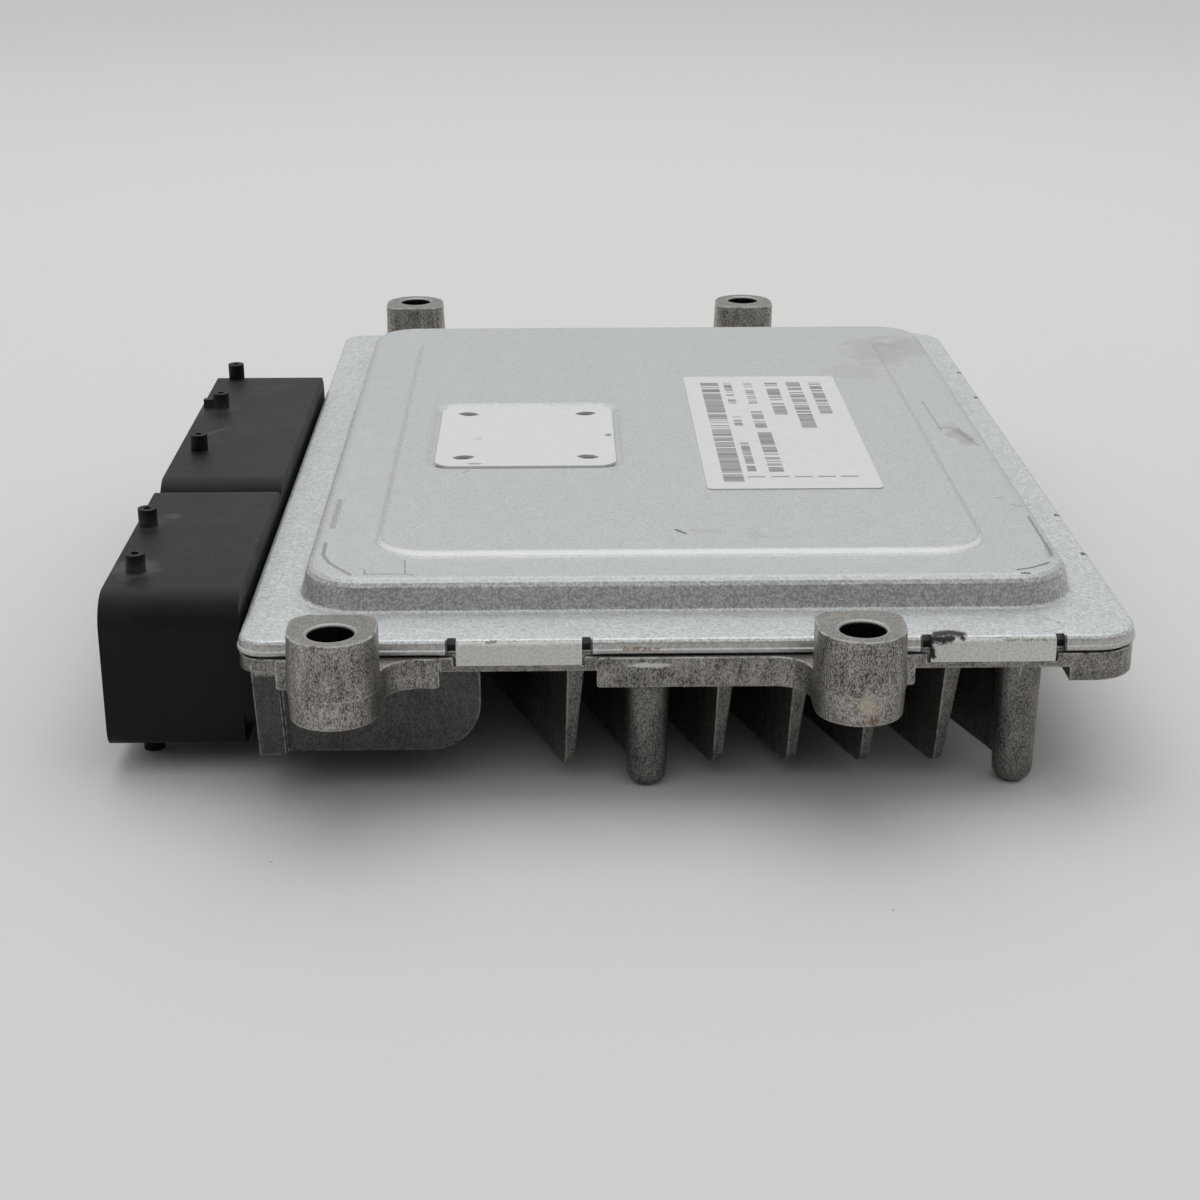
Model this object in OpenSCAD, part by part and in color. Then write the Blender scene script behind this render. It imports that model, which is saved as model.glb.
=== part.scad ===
// Engine control unit: a finned die-cast base with four bolt bosses, a stamped steel lid
// crimped over it, and a plastic header with two plug bays on the left side.
// Origin at the middle of the four bolt holes, Z = 0 on the seats of the bosses, lid up.

/* [Mounting] */
// Distance between bolt holes across the case
bolt_x = 73; // [66:0.5:84]
// Distance of the bolt holes beyond the ends of the case
boss_out = 9.25; // [7:0.05:14.5]
// Diameter of a bolt hole
bolt_d = 6.5; // [5:0.1:7.5]
// Height of a boss from its seat to its top face
boss_h = 12.4; // [10:0.1:15]
// Width of a boss at its top face
boss_d = 12.4; // [11:0.1:15]

/* [Case] */
// Width of the lid across the case
case_w = 130; // [126:0.5:140]
// Length of the lid along the case
case_l = 181.5; // [176:0.5:185]
// Sideways offset of the case from the middle of the bolt holes
case_x = 13.6; // [12:0.1:15]
// Plan radius of the case corners on the right
case_r = 7; // [5:0.5:10]
// Plan radius of the case corners on the header side
case_left_r = 4.2; // [3.5:0.1:7]
// Height of the underside of the base plate above the seats
plate_z = 2.5; // [2:0.1:4]
// Thickness of the base plate under the board
plate_t = 2.7; // [2.2:0.1:3.4]
// Thickness of the outer rim of the base plate
rim_t = 2.1; // [1.7:0.1:2.2]

/* [Lid] */
// Thickness of the lid sheet
sheet_t = 1; // [0.7:0.05:1.2]
// Height of the bead that seals the lid
seal_h = 1; // [0.8:0.05:1.4]
// Width of the bead that seals the lid
seal_w = 2.2; // [1.5:0.1:3]
// Drop of the lid lip from the top of the lid flange
lip_h = 2.15; // [1.7:0.05:2.3]
// Height of the plateau above the lid flange
plateau_h = 4.65; // [4:0.05:6]
// Width of the flange beside the plateau
plateau_side = 7.25; // [6:0.05:10]
// Width of the flange beyond the ends of the plateau
plateau_end = 11.75; // [10:0.05:15]
// Plan radius of the plateau corners
plateau_r = 9.5; // [7:0.5:13]
// Height of the raised panel above the plateau
panel_h = 0.8; // [0.4:0.05:1.2]
// Distance of the raised panel from the sides of the plateau
panel_side = 11.25; // [8.5:0.05:14]
// Distance of the raised panel from the ends of the plateau
panel_end = 11.2; // [9:0.1:14]
// Width of a crimp tab
tab_w = 17.9; // [12:0.1:22]
// Depth of a crimp tab from the top of the lid flange
tab_h = 3.7; // [3.3:0.05:4.1]

/* [Fins] */
// Number of cooling fins
fin_n = 7; // [5:1:8]
// Distance between fins across the case
fin_pitch = 10.86; // [9:0.02:11.5]
// Angle of the fins to the length of the case
fin_angle = 19.3; // [12:0.1:24]
// Depth of the fins below the seats
fin_depth = 14.3; // [11:0.1:15.5]
// Thickness of a fin at the plate
fin_root = 2.7; // [2:0.1:3.8]
// Thickness of a fin at its edge
fin_tip = 1.2; // [0.9:0.1:1.9]
// Depth of the standing posts below the seats
post_depth = 17; // [15.5:0.1:19]
// Diameter of a standing post at the plate
post_d = 6.6; // [5.5:0.1:8]

/* [Tray] */
// Depth of the tray floor below the seats
tray_depth = 10.5; // [9:0.1:12]
// Width of the tray across the case
tray_w = 32.6; // [31:0.1:35]
// Wall thickness of the tray
tray_wall = 2.5; // [2:0.1:3]

/* [Header] */
// Reach of the header mouth beyond the end wall of the base
header_reach = 23; // [21:0.1:26]
// Height of the header from its underside to its top
header_h = 23.7; // [23.2:0.1:26]
// Height of the header top above the seats
header_top = 10.6; // [10:0.1:12]
// Length of the front plug bay
front_bay_l = 54.5; // [52:0.5:57]
// Length of the rear plug bay
rear_bay_l = 73.5; // [71:0.5:77]
// Wall thickness of the plug bays
bay_wall = 1.9; // [1.6:0.1:2.3]
// Depth of the plug bays from the mouth
bay_depth = 17; // [15:0.5:18]
// Side of a square signal pin
pin_s = 0.8; // [0.6:0.05:1]
// Width of a power blade
blade_w = 2.8; // [2:0.1:3.2]

/* [Board] */
// Thickness of the circuit board
board_t = 1.6; // [1.2:0.1:2]
// Height of the board above the base plate
board_gap = 1.2; // [1:0.1:1.6]

/* [Hidden] */

// Overrun of cuts, and clearances between pieces
over = 1;
fit = 0.1;
edge_gap = 0.3;
wall_gap = 0.4;

// Levels of the case
floor_z = plate_z + plate_t;
rim_z = plate_z + rim_t;
lid_under = floor_z + seal_h;
lid_z = lid_under + sheet_t;
plateau_z = lid_z + plateau_h;
panel_z = plateau_z + panel_h;
board_z = floor_z + board_gap;
board_top = board_z + board_t;

// Edges of the case and of the plateau
plateau_off = 0.4;
case_left = case_x - case_w / 2;
case_right = case_x + case_w / 2;
case_end = case_l / 2;
bolt_y = case_l + 2 * boss_out;
plateau_w = case_w - 2 * plateau_side;
plateau_l = case_l - 2 * plateau_end;
panel_w = plateau_w - 2 * panel_side;
panel_l = plateau_l - 2 * panel_end;
plateau_x0 = case_x + plateau_off - plateau_w / 2;

// Facets of round forms: true arcs in solids, and points per corner in the pressed sheet
arc_n = 48;
corner_steps = 8;
bend_steps = 3;

// Base: inset of the rim, of the step under the lip and of the tray ends
rim_inset = 0.3;
step_inset = sheet_t + wall_gap;
tray_inset = 2.2;
tray_x0 = case_left + tray_inset;
tray_x1 = tray_x0 + tray_w;
tray_r = 7.4;
tray_end_inset = 2.15;
tray_y = case_end - tray_end_inset;
tray_corner = 3;
collar_t = 3.5;
collar_proud = 1.4;
collar_in = tray_x0 + collar_t;
collar_lean = 0.7;
lean_gap = 1;

// Bosses: round part a little behind its hole, parting ledge, draft, chamfer and date tablet
boss_off = 0.9;
boss_part_z = 4.2;
boss_part_grow = 0.35;
boss_foot_shrink = 0.35;
boss_ledge = 0.16;
chamfer_d = 0.25;
chamfer_h = 0.25;
boss_gap = 2.3;
heel_r = 3;
boss_back = bolt_y / 2 - case_end - boss_gap;
tablet_w = 2.6;
tablet_h = 3.9;
tablet_z = 0.5;
tablet_proud = 0.2;
tablet_r = 0.8;
tablet_rim = 0.3;
tablet_sink = 0.14;
tablet_y = boss_d / 2 + boss_part_grow - boss_off + tablet_proud;

// Bars beside the bosses and blocks at the corners, cast under the rim for stiffness
bar_t = 4.2;
bar_rise = 0.3;
bar_r = 0.45;
bar_proud = 0.9;
bar_y_in = 3.4;
bar_left_l = 14.2;
bar_mid_l = 36.4;
bar_right_l = 9;
bar_fillet_r = 5;
bar_y = -case_end - bar_proud;
block_l = 10.6;
block_in = 10.8;

// Lid: bends, plateau offset, tabs and notches
bend_r = 1.2;
fold_r = 0.75;
fold_in = 0.25;
bead_h = 0.85;
bead_r = 0.2;
foot_r = 0.7;
brow_r = 1.9;
wall_run = 0.5;
step_run = 1.3;
panel_r = 8;
notch_w = 1.25;
notch_in = 1.5;
tab_shares = [0.3111, 0.8319];
tab_side_shares = [-0.2534, 0.2534];
tab_spare = 0.2;
tab_sink = 0.03;
seal_inset = 1.9;
seam_r = 0.6;

// Vent in the panel: a pressed pan, a hole and a membrane pad with four slots
vent_w = 31.2;
vent_l = 37.4;
vent_shares = [-0.2613, -0.042];
vent_x = case_x + vent_shares[0] * panel_w;
vent_y = vent_shares[1] * panel_l;
vent_r = 3.4;
vent_sink = 0.6;
vent_run = 2;
vent_steps = 3;
vent_brim = 0.02;
vent_hole_d = 7;
membrane_t = 0.5;
slot_w = 3.9;
slot_turn = 11;
slot_bow_r = 2.2;
slot_in_x = 4.9;
slot_in_y = 5.2;

// Label on the panel
label_w = 29;
label_l = 70.8;
label_shares = [0.2172, -0.0221];
label_x = case_x + label_shares[0] * panel_w;
label_y = label_shares[1] * panel_l;
label_t = 0.15;
label_r = 1;

// Fins and posts
fin_tray_gap = 12.8;
fin_side = 5;
fin_front_in = 1.35;
fin_back_in = 2.75;
fin_x0 = tray_x1 + fin_tray_gap;
fin_front_y = fin_front_in - case_end;
fin_back_y = case_end - fin_back_in;
fin_draft = 3;
fin_nose_r = 2;
fin_z = plate_z + plate_t / 2;
post_taper = 0.7;
post_in = 4.75;
post_front_gap = 11.3;
post_back_gap = 4.4;
post_side = 17;
post_y = post_in - case_end;
post_xs = [fin_x0 + post_front_gap, case_right - post_side];
post_back_xs = [fin_x0 + post_back_gap, case_right - post_side];
post_nose_r = 2.2;

// Board: outline inside the lid, screws and the pillars that carry them
board_side = 0.75;
board_end = 1.5;
board_x0 = plateau_x0 + sheet_t + board_side;
board_x1 = plateau_x0 + plateau_w - sheet_t - board_side;
board_y = plateau_l / 2 - sheet_t - board_end;
board_w = board_x1 - board_x0;
board_l = 2 * board_y;
board_r = 6;
screw_d = 3;
screw_hole_d = 3.4;
screw_head_d = 5.4;
screw_head_h = 1.9;
screw_len = 7;
pilot_spare = 0.4;
screw_recess_d = 2.4;
screw_recess_h = 0.9;
screw_in = 4.5;
pillar_d = 7.6;
pillar_below = 3.4;
screw_mid_share = 0.5536;
screw_mid_x = board_x0 + screw_mid_share * board_w;
screw_tray_in = 6.9;
screw_tray_x = tray_x1 - screw_tray_in;
board_screw_at = concat([for (x = [screw_tray_x, screw_mid_x, board_x1 - screw_in],
    s = [-1, 1]) [x, s * (board_y - screw_in)]], [[board_x1 - screw_in, 0]]);

// Header: body, neck, tongues, groove, pegs and feet
header_x0 = tray_x0 - header_reach;
neck_gap = 0.2;
neck_l = 2.4;
neck_x1 = tray_x0 - neck_gap;
header_x1 = neck_x1 - neck_l;
header_in = 8.75;
header_y0 = header_in - case_end;
header_bottom = header_top - header_h;
bay_split = header_y0 + front_bay_l;
header_y1 = bay_split + rear_bay_l;
bay_r_top = 5;
bay_r_bottom = 3;
bay_overlap = 0.6;
web_l = 11;
web_sink = 2;
neck_rise = 0.4;
neck_top = plate_z - neck_gap;
neck_bottom = neck_rise - tray_depth;
key_w = 2;
key_h = 1.3;
key_shares = [0.25, 0.7];
tongue_top = 0.2;
tongue_bottom = -7.4;
tongue_in = 0.8;
tongue_x1 = collar_in + tongue_in;
tongue_end = 8.6;
tongue_mid = 4.7;
tongue_r = 1.5;
tongue_spans = [[header_y0 + tongue_end, bay_split - tongue_mid],
    [bay_split + tongue_mid, header_y1 - tongue_end]];
window_gap = 0.35;
groove_w = 1.4;
groove_d = 1.6;
groove_out = 0.6;
peg_d = 3;
peg_h = 2.8;
peg_dimple_d = 1.2;
peg_dimple_h = 0.5;
peg_in = 3.7;
peg_front_shares = [0.2275, 0.6202];
peg_rear_shares = [0.2816, 0.6531, 0.9429];
peg_lug_y = bay_split + peg_rear_shares[1] * rear_bay_l;
peg_at = concat([[peg_in, header_y0 + peg_front_shares[0] * front_bay_l],
    [peg_in / 2, header_y0 + peg_front_shares[1] * front_bay_l]],
    [for (share = peg_rear_shares) [peg_in, bay_split + share * rear_bay_l]]);
peg_lug_w = 1.2;
peg_lug_l = 3.2;
peg_lug_h = 1.6;
foot_in = 5;
foot_end = 9.5;
foot_ys = [header_y0 + foot_end, header_y1 - foot_end];
foot_x = header_x0 + foot_in;
foot_d = 3.2;
header_screw_end = 4.2;
header_screw_ys = [header_y0 + header_screw_end, bay_split, header_y1 - header_screw_end];
header_screw_zs = [-5.6, -0.9];
header_screw_d = 2.5;
header_screw_head_d = 4.2;
header_screw_head_h = 1.7;
header_screw_len = 7.6;

// Pins: rows from the lowest up, and where each row turns up to the board
pin_row_zs = [-6, -3.6, -1.2];
pin_turn_ins = [6.6, 4.1, 1.6];
pin_turn_xs = [for (turn = pin_turn_ins) board_x0 + turn];
pin_pitch = 3;
front_pin_in = 19.8;
front_pin_end = 7;
front_pin_n = floor((front_bay_l - front_pin_in - front_pin_end) / pin_pitch) + 1;
front_pin_y0 = header_y0 + front_pin_in;
rear_pin_in = 7;
rear_pin_y0 = bay_split + rear_pin_in;
pin_tip_in = 7.6;
pin_tip_x = header_x0 + pin_tip_in;
pin_above = 0.6;
blade_t = 0.8;
blade_row_zs = [-5.4, -1.8];
blade_turn_ins = [6.6, 1.8];
blade_turn_xs = [for (turn = blade_turn_ins) board_x0 + turn];
front_blade_ins = [11.4, 16];
rear_blade_ins = [22, 17.3, 12.6];
blade_gap = 5;
rear_pin_n = floor((rear_bay_l - rear_pin_in - rear_blade_ins[0] - blade_gap) / pin_pitch) + 1;
front_blade_ys = [for (d = front_blade_ins) header_y0 + d];
rear_blade_ys = [for (d = rear_blade_ins) header_y1 - d];

// Parts on the board: shares of its width from the left edge and of its length from the
// middle, and their sizes
mcu_shares = [0.625, 0.1457];
mcu_size = [24, 24, 1.5];
mcu_leads = 18;
flash_shares = [0.8482, 0.2119];
flash_size = [6, 5, 1.6];
driver_shares = [[0.375, -0.3179], [0.625, -0.3444], [0.375, -0.1325]];
driver_size = [16, 11, 2.2];
driver_leads = 12;
ignition_shares = [[0.7857, -0.3974], [0.8839, -0.3974], [0.7857, -0.2914], [0.8839, -0.2914]];
ignition_size = [6.6, 6, 2.3];
ignition_tab = 2.6;
regulator_shares = [0.375, 0.3444];
regulator_size = [15, 12, 2.2];
regulator_leads = 10;
transceiver_shares = [[0.375, 0.2119], [0.375, 0.1192]];
transceiver_size = [5, 4, 1.6];
small_leads = 4;
sensor_shares = [0.2795, 0];
sensor_size = [7, 7, 2.2];
sensor_port_d = 2;
crystal_shares = [0.625, 0.2914];
crystal_size = [5, 3.2, 1];
chip_size = [2, 1.25, 1.1];
chip_columns = 7;
chip_pitch_share = 0.0446;
chip_row_shares = [0.0265, -0.053];
chip_first_share = 0.4821;
chip_side_share = 0.8839;
chip_side_n = 6;
chip_side_first_share = -0.1589;
chip_side_pitch_share = 0.0596;
shunt_shares = [[0.5, -0.4106], [0.5, -0.3576], [0.5, -0.3046],
    [0.7321, -0.1987], [0.8214, -0.1987]];
shunt_size = [3.2, 6.4, 0.8];
diode_shares = [[0.25, -0.4371], [0.3393, -0.4371], [0.6429, -0.4636],
    [0.25, 0.4238], [0.6964, 0.4106]];
diode_size = [4.6, 2.8, 2.2];
tray_part_in = 9.4;
tray_part_x = tray_x1 - tray_part_in;
inductor_share = 0.2252;
inductor_size = [9.6, 12, 6.4];
inductor_core_d = 8.4;
inductor_gap = 0.8;
capacitor_shares = [-0.3576, -0.2649, -0.053, 0.3576];
capacitor_d = 9.4;
capacitor_h = 9.6;
capacitor_base = 1.2;
capacitor_neck_h = 0.6;
thermal_shares = concat(driver_shares, [regulator_shares, mcu_shares, [0.8348, -0.3444]]);
thermal_size = [15, 12];
lead_w = 0.4;
lead_out = 1;
lead_t = 0.2;
lead_share = 0.8;

// Plan rectangle with rounded corners, centred on the origin
module round_rect(w, l, r) {
    square([w - 2 * r, l], center = true);
    square([w, l - 2 * r], center = true);
    for (sx = [-1, 1], sy = [-1, 1]) {
        translate([sx * (w / 2 - r), sy * (l / 2 - r)]) circle(r, $fn = arc_n);
    }
}

// Plan outline of the case at an inset, with its own corner radius on the left
module case_plan(inset) {
    w = case_w - 2 * inset;
    l = case_l - 2 * inset;
    for (left = [0, 1]) {
        r = left ? max(case_left_r - inset, seam_r) : case_r - inset;
        translate([case_x, 0]) mirror([left, 0]) {
            translate([-w / 4, r - l / 2]) square([w * 3 / 4, l - 2 * r]);
            translate([-w / 4, -l / 2]) square([w * 3 / 4 - r, l]);
            for (s = [-1, 1]) translate([w / 2 - r, s * (l / 2 - r)]) circle(r, $fn = arc_n);
        }
    }
}

// Rounded rectangle between two corners, with its own radius at the top and at the bottom
module two_radius_rect(y0, y1, z0, z1, rt, rb) {
    translate([y0, z0 + rb]) square([y1 - y0, z1 - z0 - rt - rb]);
    translate([y0 + rt, z0 + rb]) square([y1 - y0 - 2 * rt, z1 - z0 - rb]);
    translate([y0 + rb, z0]) square([y1 - y0 - 2 * rb, z1 - z0 - rt]);
    for (y = [y0 + rt, y1 - rt]) translate([y, z1 - rt]) circle(rt, $fn = arc_n);
    for (y = [y0 + rb, y1 - rb]) translate([y, z0 + rb]) circle(rb, $fn = arc_n);
}

// Draws a Y-Z profile from x0 to x1
module along_x(x0, x1) {
    translate([x0, 0, 0]) rotate([90, 0, 90]) linear_extrude(x1 - x0) children();
}

// Draws an X-Z profile from y0 to y1
module along_y(y0, y1) {
    translate([0, y1, 0]) rotate([90, 0, 0]) linear_extrude(y1 - y0) children();
}

// Box between two corners
module box(a, b) {
    translate(a) cube(b - a);
}

// Closed skin through a list of rings that all have the same number of points
module ring_skin(rings) {
    n = len(rings[0]);
    m = len(rings);
    points = [for (ring = rings) for (p = ring) p];
    sides = [for (j = [0:m - 2]) for (i = [0:n - 1])
        [j * n + i, (j + 1) * n + i, (j + 1) * n + (i + 1) % n, j * n + (i + 1) % n]];
    polyhedron(points = points, faces = concat(sides,
        [[for (i = [0:n - 1]) i]], [[for (i = [n - 1:-1:0]) (m - 1) * n + i]]), convexity = 6);
}

// Points of a rounded rectangle at height z, and the same outline moved inwards
function ring_points(cx, w, l, right_r, left_r, z) = [for (q = [0:3]) for (i = [0:corner_steps])
    let (a = 90 * q + 90 * i / corner_steps, right = q == 0 || q == 3,
        sx = right ? 1 : -1, sy = q < 2 ? 1 : -1, r = right ? right_r : left_r)
    [cx + sx * (w / 2 - r) + r * cos(a), sy * (l / 2 - r) + r * sin(a), z]];
function lid_ring(u, z) = ring_points(case_x, case_w - 2 * u, case_l - 2 * u, case_r - u,
    case_left_r - u, z);
function plateau_ring(u, z) = ring_points(case_x + plateau_off, plateau_w - 2 * u,
    plateau_l - 2 * u, plateau_r - u, plateau_r - u, z);
function panel_ring(u, z) = ring_points(case_x, panel_w - 2 * u, panel_l - 2 * u,
    panel_r - u, panel_r - u, z);

// Rings of the lip: outside a rounded bead under a tight fold, inside one plain bend
function lip_outside() = concat(
    [lid_ring(bead_r, lid_z - lip_h), lid_ring(0, lid_z - lip_h + bead_r)],
    [lid_ring(0, lid_z - lip_h + bead_h - bead_r), lid_ring(fold_in, lid_z - lip_h + bead_h)],
    [for (i = [0:bend_steps]) let (a = 90 * i / bend_steps)
        lid_ring(fold_in + fold_r * (1 - cos(a)), lid_z - fold_r * (1 - sin(a)))]);
function lip_inside(t) = concat(
    [lid_ring(t, lid_z - lip_h)],
    [for (i = [0:bend_steps]) let (a = 90 * i / bend_steps)
        lid_ring(bend_r - (bend_r - t) * cos(a), lid_z - bend_r + (bend_r - t) * sin(a))]);

// Rings of the lid at depth t below its outer face, from the foot of the plateau to the panel
function plateau_rings(t) = concat(
    [for (i = [0:bend_steps]) let (a = 84 * i / bend_steps)
        plateau_ring((foot_r + t) * sin(a) - foot_r, lid_z + foot_r - (foot_r + t) * cos(a))],
    [for (i = [0:bend_steps + 1]) let (a = 6 + 84 * i / (bend_steps + 1))
        plateau_ring(wall_run + brow_r - (brow_r - t) * cos(a),
            plateau_z - brow_r + (brow_r - t) * sin(a))],
    [for (i = [0:bend_steps + 1]) let (s = i / (bend_steps + 1))
        panel_ring((s - 0.5) * step_run, plateau_z - t + panel_h * (1 - cos(180 * s)) / 2)]);
function reversed(list) = [for (i = [len(list) - 1:-1:0]) list[i]];

// Crimp tabs: children are drawn at the edge of the case, looking outwards along -Y
module at_tabs() {
    for (t = tab_shares, s = [0, 1]) {
        mirror([0, s, 0]) translate([case_left + t * case_w, -case_end, 0]) children();
    }
    for (t = tab_side_shares) translate([case_right, t * case_l, 0]) rotate([0, 0, 90])
        children();
}

module lid_cover() color("lightsteelblue") {
    difference() {
        union() {
            difference() {
                ring_skin(concat(reversed(concat(lip_inside(sheet_t), plateau_rings(sheet_t))),
                    lip_outside(), plateau_rings(0)));
                translate([vent_x, vent_y, panel_z - sheet_t - over])
                    linear_extrude(sheet_t + 2 * over) round_rect(vent_w, vent_l, vent_r);
                at_tabs() for (s = [-1, 1]) {
                    translate([s * (tab_w + notch_w) / 2 - notch_w / 2, -over, lid_z - lip_h - over])
                        cube([notch_w, notch_in + over, lip_h + 2 * over]);
                }
            }
            translate([vent_x, vent_y, panel_z - vent_sink - sheet_t])
                linear_extrude(sheet_t + vent_sink - panel_drop())
                round_rect(vent_w + 2 * sheet_t, vent_l + 2 * sheet_t, vent_r + sheet_t);
            at_tabs() along_x(-tab_w / 2, tab_w / 2) tab_profile();
        }
        translate([vent_x, vent_y, 0]) ring_skin([for (i = [0:vent_steps])
            vent_ring(vent_run * i / vent_steps,
                panel_z + vent_brim - (vent_sink + vent_brim) * (1 + cos(180 * i / vent_steps)) / 2)]);
        translate([vent_x, vent_y, panel_z - vent_sink - sheet_t - over])
            cylinder(d = vent_hole_d, h = sheet_t + 2 * over, $fn = arc_n);
    }
}

// The pressed pan stops a hair under the panel face, inside the sheet
function panel_drop() = sheet_t / 4;

// Outline of the pan's sloping wall, grown by u
function vent_ring(u, z) = ring_points(0, vent_w + 2 * u, vent_l + 2 * u, vent_r + u,
    vent_r + u, z);

// Section of a crimp tab: flat down from the bend
module tab_profile() {
    translate([0, lid_z - tab_h]) square([sheet_t, tab_h - bend_r]);
    intersection() {
        translate([bend_r, lid_z - bend_r - tab_sink]) circle(bend_r, $fn = arc_n);
        translate([0, lid_z - bend_r - tab_sink]) square([bend_r, bend_r]);
    }
}

module base_housing() color("gray") {
    difference() {
        union() {
            difference() {
                union() {
                    plate();
                    tray_outer();
                    fins();
                    posts();
                    mirror_ends() {
                        bosses();
                        bars();
                    }
                }
                tray_inner();
                windows();
            }
            pillars();
        }
        mirror_ends() boss_bores();
        screw_pilots();
        tab_pockets();
    }
}

module mirror_ends() {
    for (s = [0, 1]) mirror([0, s, 0]) children();
}

module plate() {
    translate([0, 0, plate_z]) linear_extrude(rim_t) case_plan(rim_inset);
    translate([0, 0, plate_z]) linear_extrude(plate_t) case_plan(step_inset);
}

module tray_profile(x0, x1, z0, z1, r) {
    translate([x0, z0]) square([x1 - x0 - r, z1 - z0]);
    translate([x0, z0 + r]) square([x1 - x0, z1 - z0 - r]);
    translate([x1 - r, z0 + r]) circle(r, $fn = arc_n);
}

module tray_outer() {
    top = plate_z + rim_t / 2;
    difference() {
        union() {
            along_y(-tray_y, tray_y) tray_profile(tray_x0, tray_x1, -tray_depth, top, tray_r);
            along_y(-tray_y - collar_proud, tray_y + collar_proud)
                polygon([[tray_x0, top], [collar_in + over - collar_lean, top],
                    [collar_in + over, -tray_depth], [tray_x0, -tray_depth]]);
        }
        // Draft of the end wall beyond both ends of the header
        for (span = [[-case_end, header_y0 - lean_gap], [header_y1 + lean_gap, case_end]])
            along_y(span[0], span[1]) polygon([[tray_x0, plate_z], [tray_x0 - over, plate_z],
                [tray_x0 - over, -tray_depth - over], [tray_x0 + collar_lean, -tray_depth - over]]);
    }
}

module tray_inner() {
    along_y(-tray_y + tray_wall, tray_y - tray_wall)
        tray_profile(collar_in, tray_x1 - tray_wall, tray_wall - tray_depth, floor_z + over,
            tray_r - tray_wall);
}

// Windows in the end wall for the two tongues of the header
module tongue_rect(y0, y1, gap) {
    translate([(y0 + y1) / 2, (tongue_top + tongue_bottom) / 2])
        round_rect(y1 - y0 + 2 * gap, tongue_top - tongue_bottom + 2 * gap, tongue_r + gap);
}
module windows() {
    for (s = tongue_spans) along_x(tray_x0 - over, collar_in + over)
        tongue_rect(s[0], s[1], window_gap);
}

// One fin along +Y from its front end at the origin, tapered to its edge
module fin(l) {
    intersection() {
        rotate([90, 0, 90]) linear_extrude(fin_root + over, center = true) {
            polygon([[0, fin_z], [fin_draft, fin_nose_r - fin_depth],
                [fin_draft + fin_nose_r, -fin_depth], [l, -fin_depth], [l, fin_z]]);
            translate([fin_draft + fin_nose_r, fin_nose_r - fin_depth])
                circle(fin_nose_r, $fn = arc_n);
        }
        translate([0, l + over, 0]) rotate([90, 0, 0]) linear_extrude(l + 2 * over)
            polygon([[-fin_root / 2, fin_z + over], [fin_root / 2, fin_z + over],
                [fin_tip / 2, -fin_depth - over], [-fin_tip / 2, -fin_depth - over]]);
    }
}

// As many fins as the plate has room for; each ends in the tray wall or near the back
module fins() {
    wall_x = tray_x1 - tray_wall / 2;
    for (i = [0:fin_n - 1]) {
        x = fin_x0 + fin_draft * tan(fin_angle) + i * fin_pitch;
        to_wall = (x - wall_x) / sin(fin_angle);
        to_back = (fin_back_y - fin_front_y) / cos(fin_angle);
        if (x < case_right - fin_side)
            translate([x, fin_front_y, 0]) rotate([0, 0, fin_angle]) fin(min(to_wall, to_back));
    }
}

module post(x, y) {
    translate([x, y, 0]) rotate_extrude($fn = arc_n) {
        polygon([[0, fin_z], [post_d / 2, fin_z],
            [post_d / 2 - post_taper / 2, post_nose_r - post_depth],
            [post_d / 2 - post_taper / 2 - post_nose_r, -post_depth], [0, -post_depth]]);
        intersection() {
            translate([post_d / 2 - post_taper / 2 - post_nose_r, post_nose_r - post_depth])
                circle(post_nose_r, $fn = arc_n);
            translate([0, -post_depth]) square([post_d, post_nose_r]);
        }
    }
}

module posts() {
    for (x = post_xs) post(x, post_y);
    for (x = post_back_xs) post(x, -post_y);
}

// Bosses of one end: two drafts meet at the parting line, and a neck joins the plate
module bosses() {
    for (s = [-1, 1]) translate([s * bolt_x / 2, -bolt_y / 2, 0]) {
        part_d = boss_d + 2 * boss_part_grow;
        translate([0, boss_off, boss_part_z])
            cylinder(d1 = part_d, d2 = boss_d, h = boss_h - boss_part_z, $fn = arc_n);
        translate([0, boss_off, 0]) cylinder(d1 = part_d - 2 * boss_foot_shrink,
            d2 = part_d - 2 * boss_ledge, h = boss_part_z, $fn = arc_n);
        linear_extrude(boss_h) boss_heel();
        box([-boss_d / 2, boss_off, 0], [boss_d / 2, bolt_y / 2 - case_end + bar_y_in, rim_z]);
    }
    translate([-bolt_x / 2, -bolt_y / 2, tablet_z]) date_tablet();
}

// Bare tablet with a raised rim, on the outer face of a boss
module date_tablet() {
    difference() {
        along_y(-tablet_y, boss_d / 4 - tablet_y) translate([0, tablet_h / 2])
            round_rect(tablet_w, tablet_h, tablet_r);
        along_y(-tablet_y - over, tablet_sink - tablet_y) translate([0, tablet_h / 2])
            round_rect(tablet_w - 2 * tablet_rim, tablet_h - 2 * tablet_rim, tablet_r - tablet_rim);
    }
}

// Straight part of a boss towards the case, with rounded corners
module boss_heel() {
    translate([-boss_d / 2, boss_off]) square([boss_d, boss_back - heel_r - boss_off]);
    translate([heel_r - boss_d / 2, boss_off]) square([boss_d - 2 * heel_r, boss_back - boss_off]);
    for (s = [-1, 1]) translate([s * (boss_d / 2 - heel_r), boss_back - heel_r])
        circle(heel_r, $fn = arc_n);
}

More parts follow.
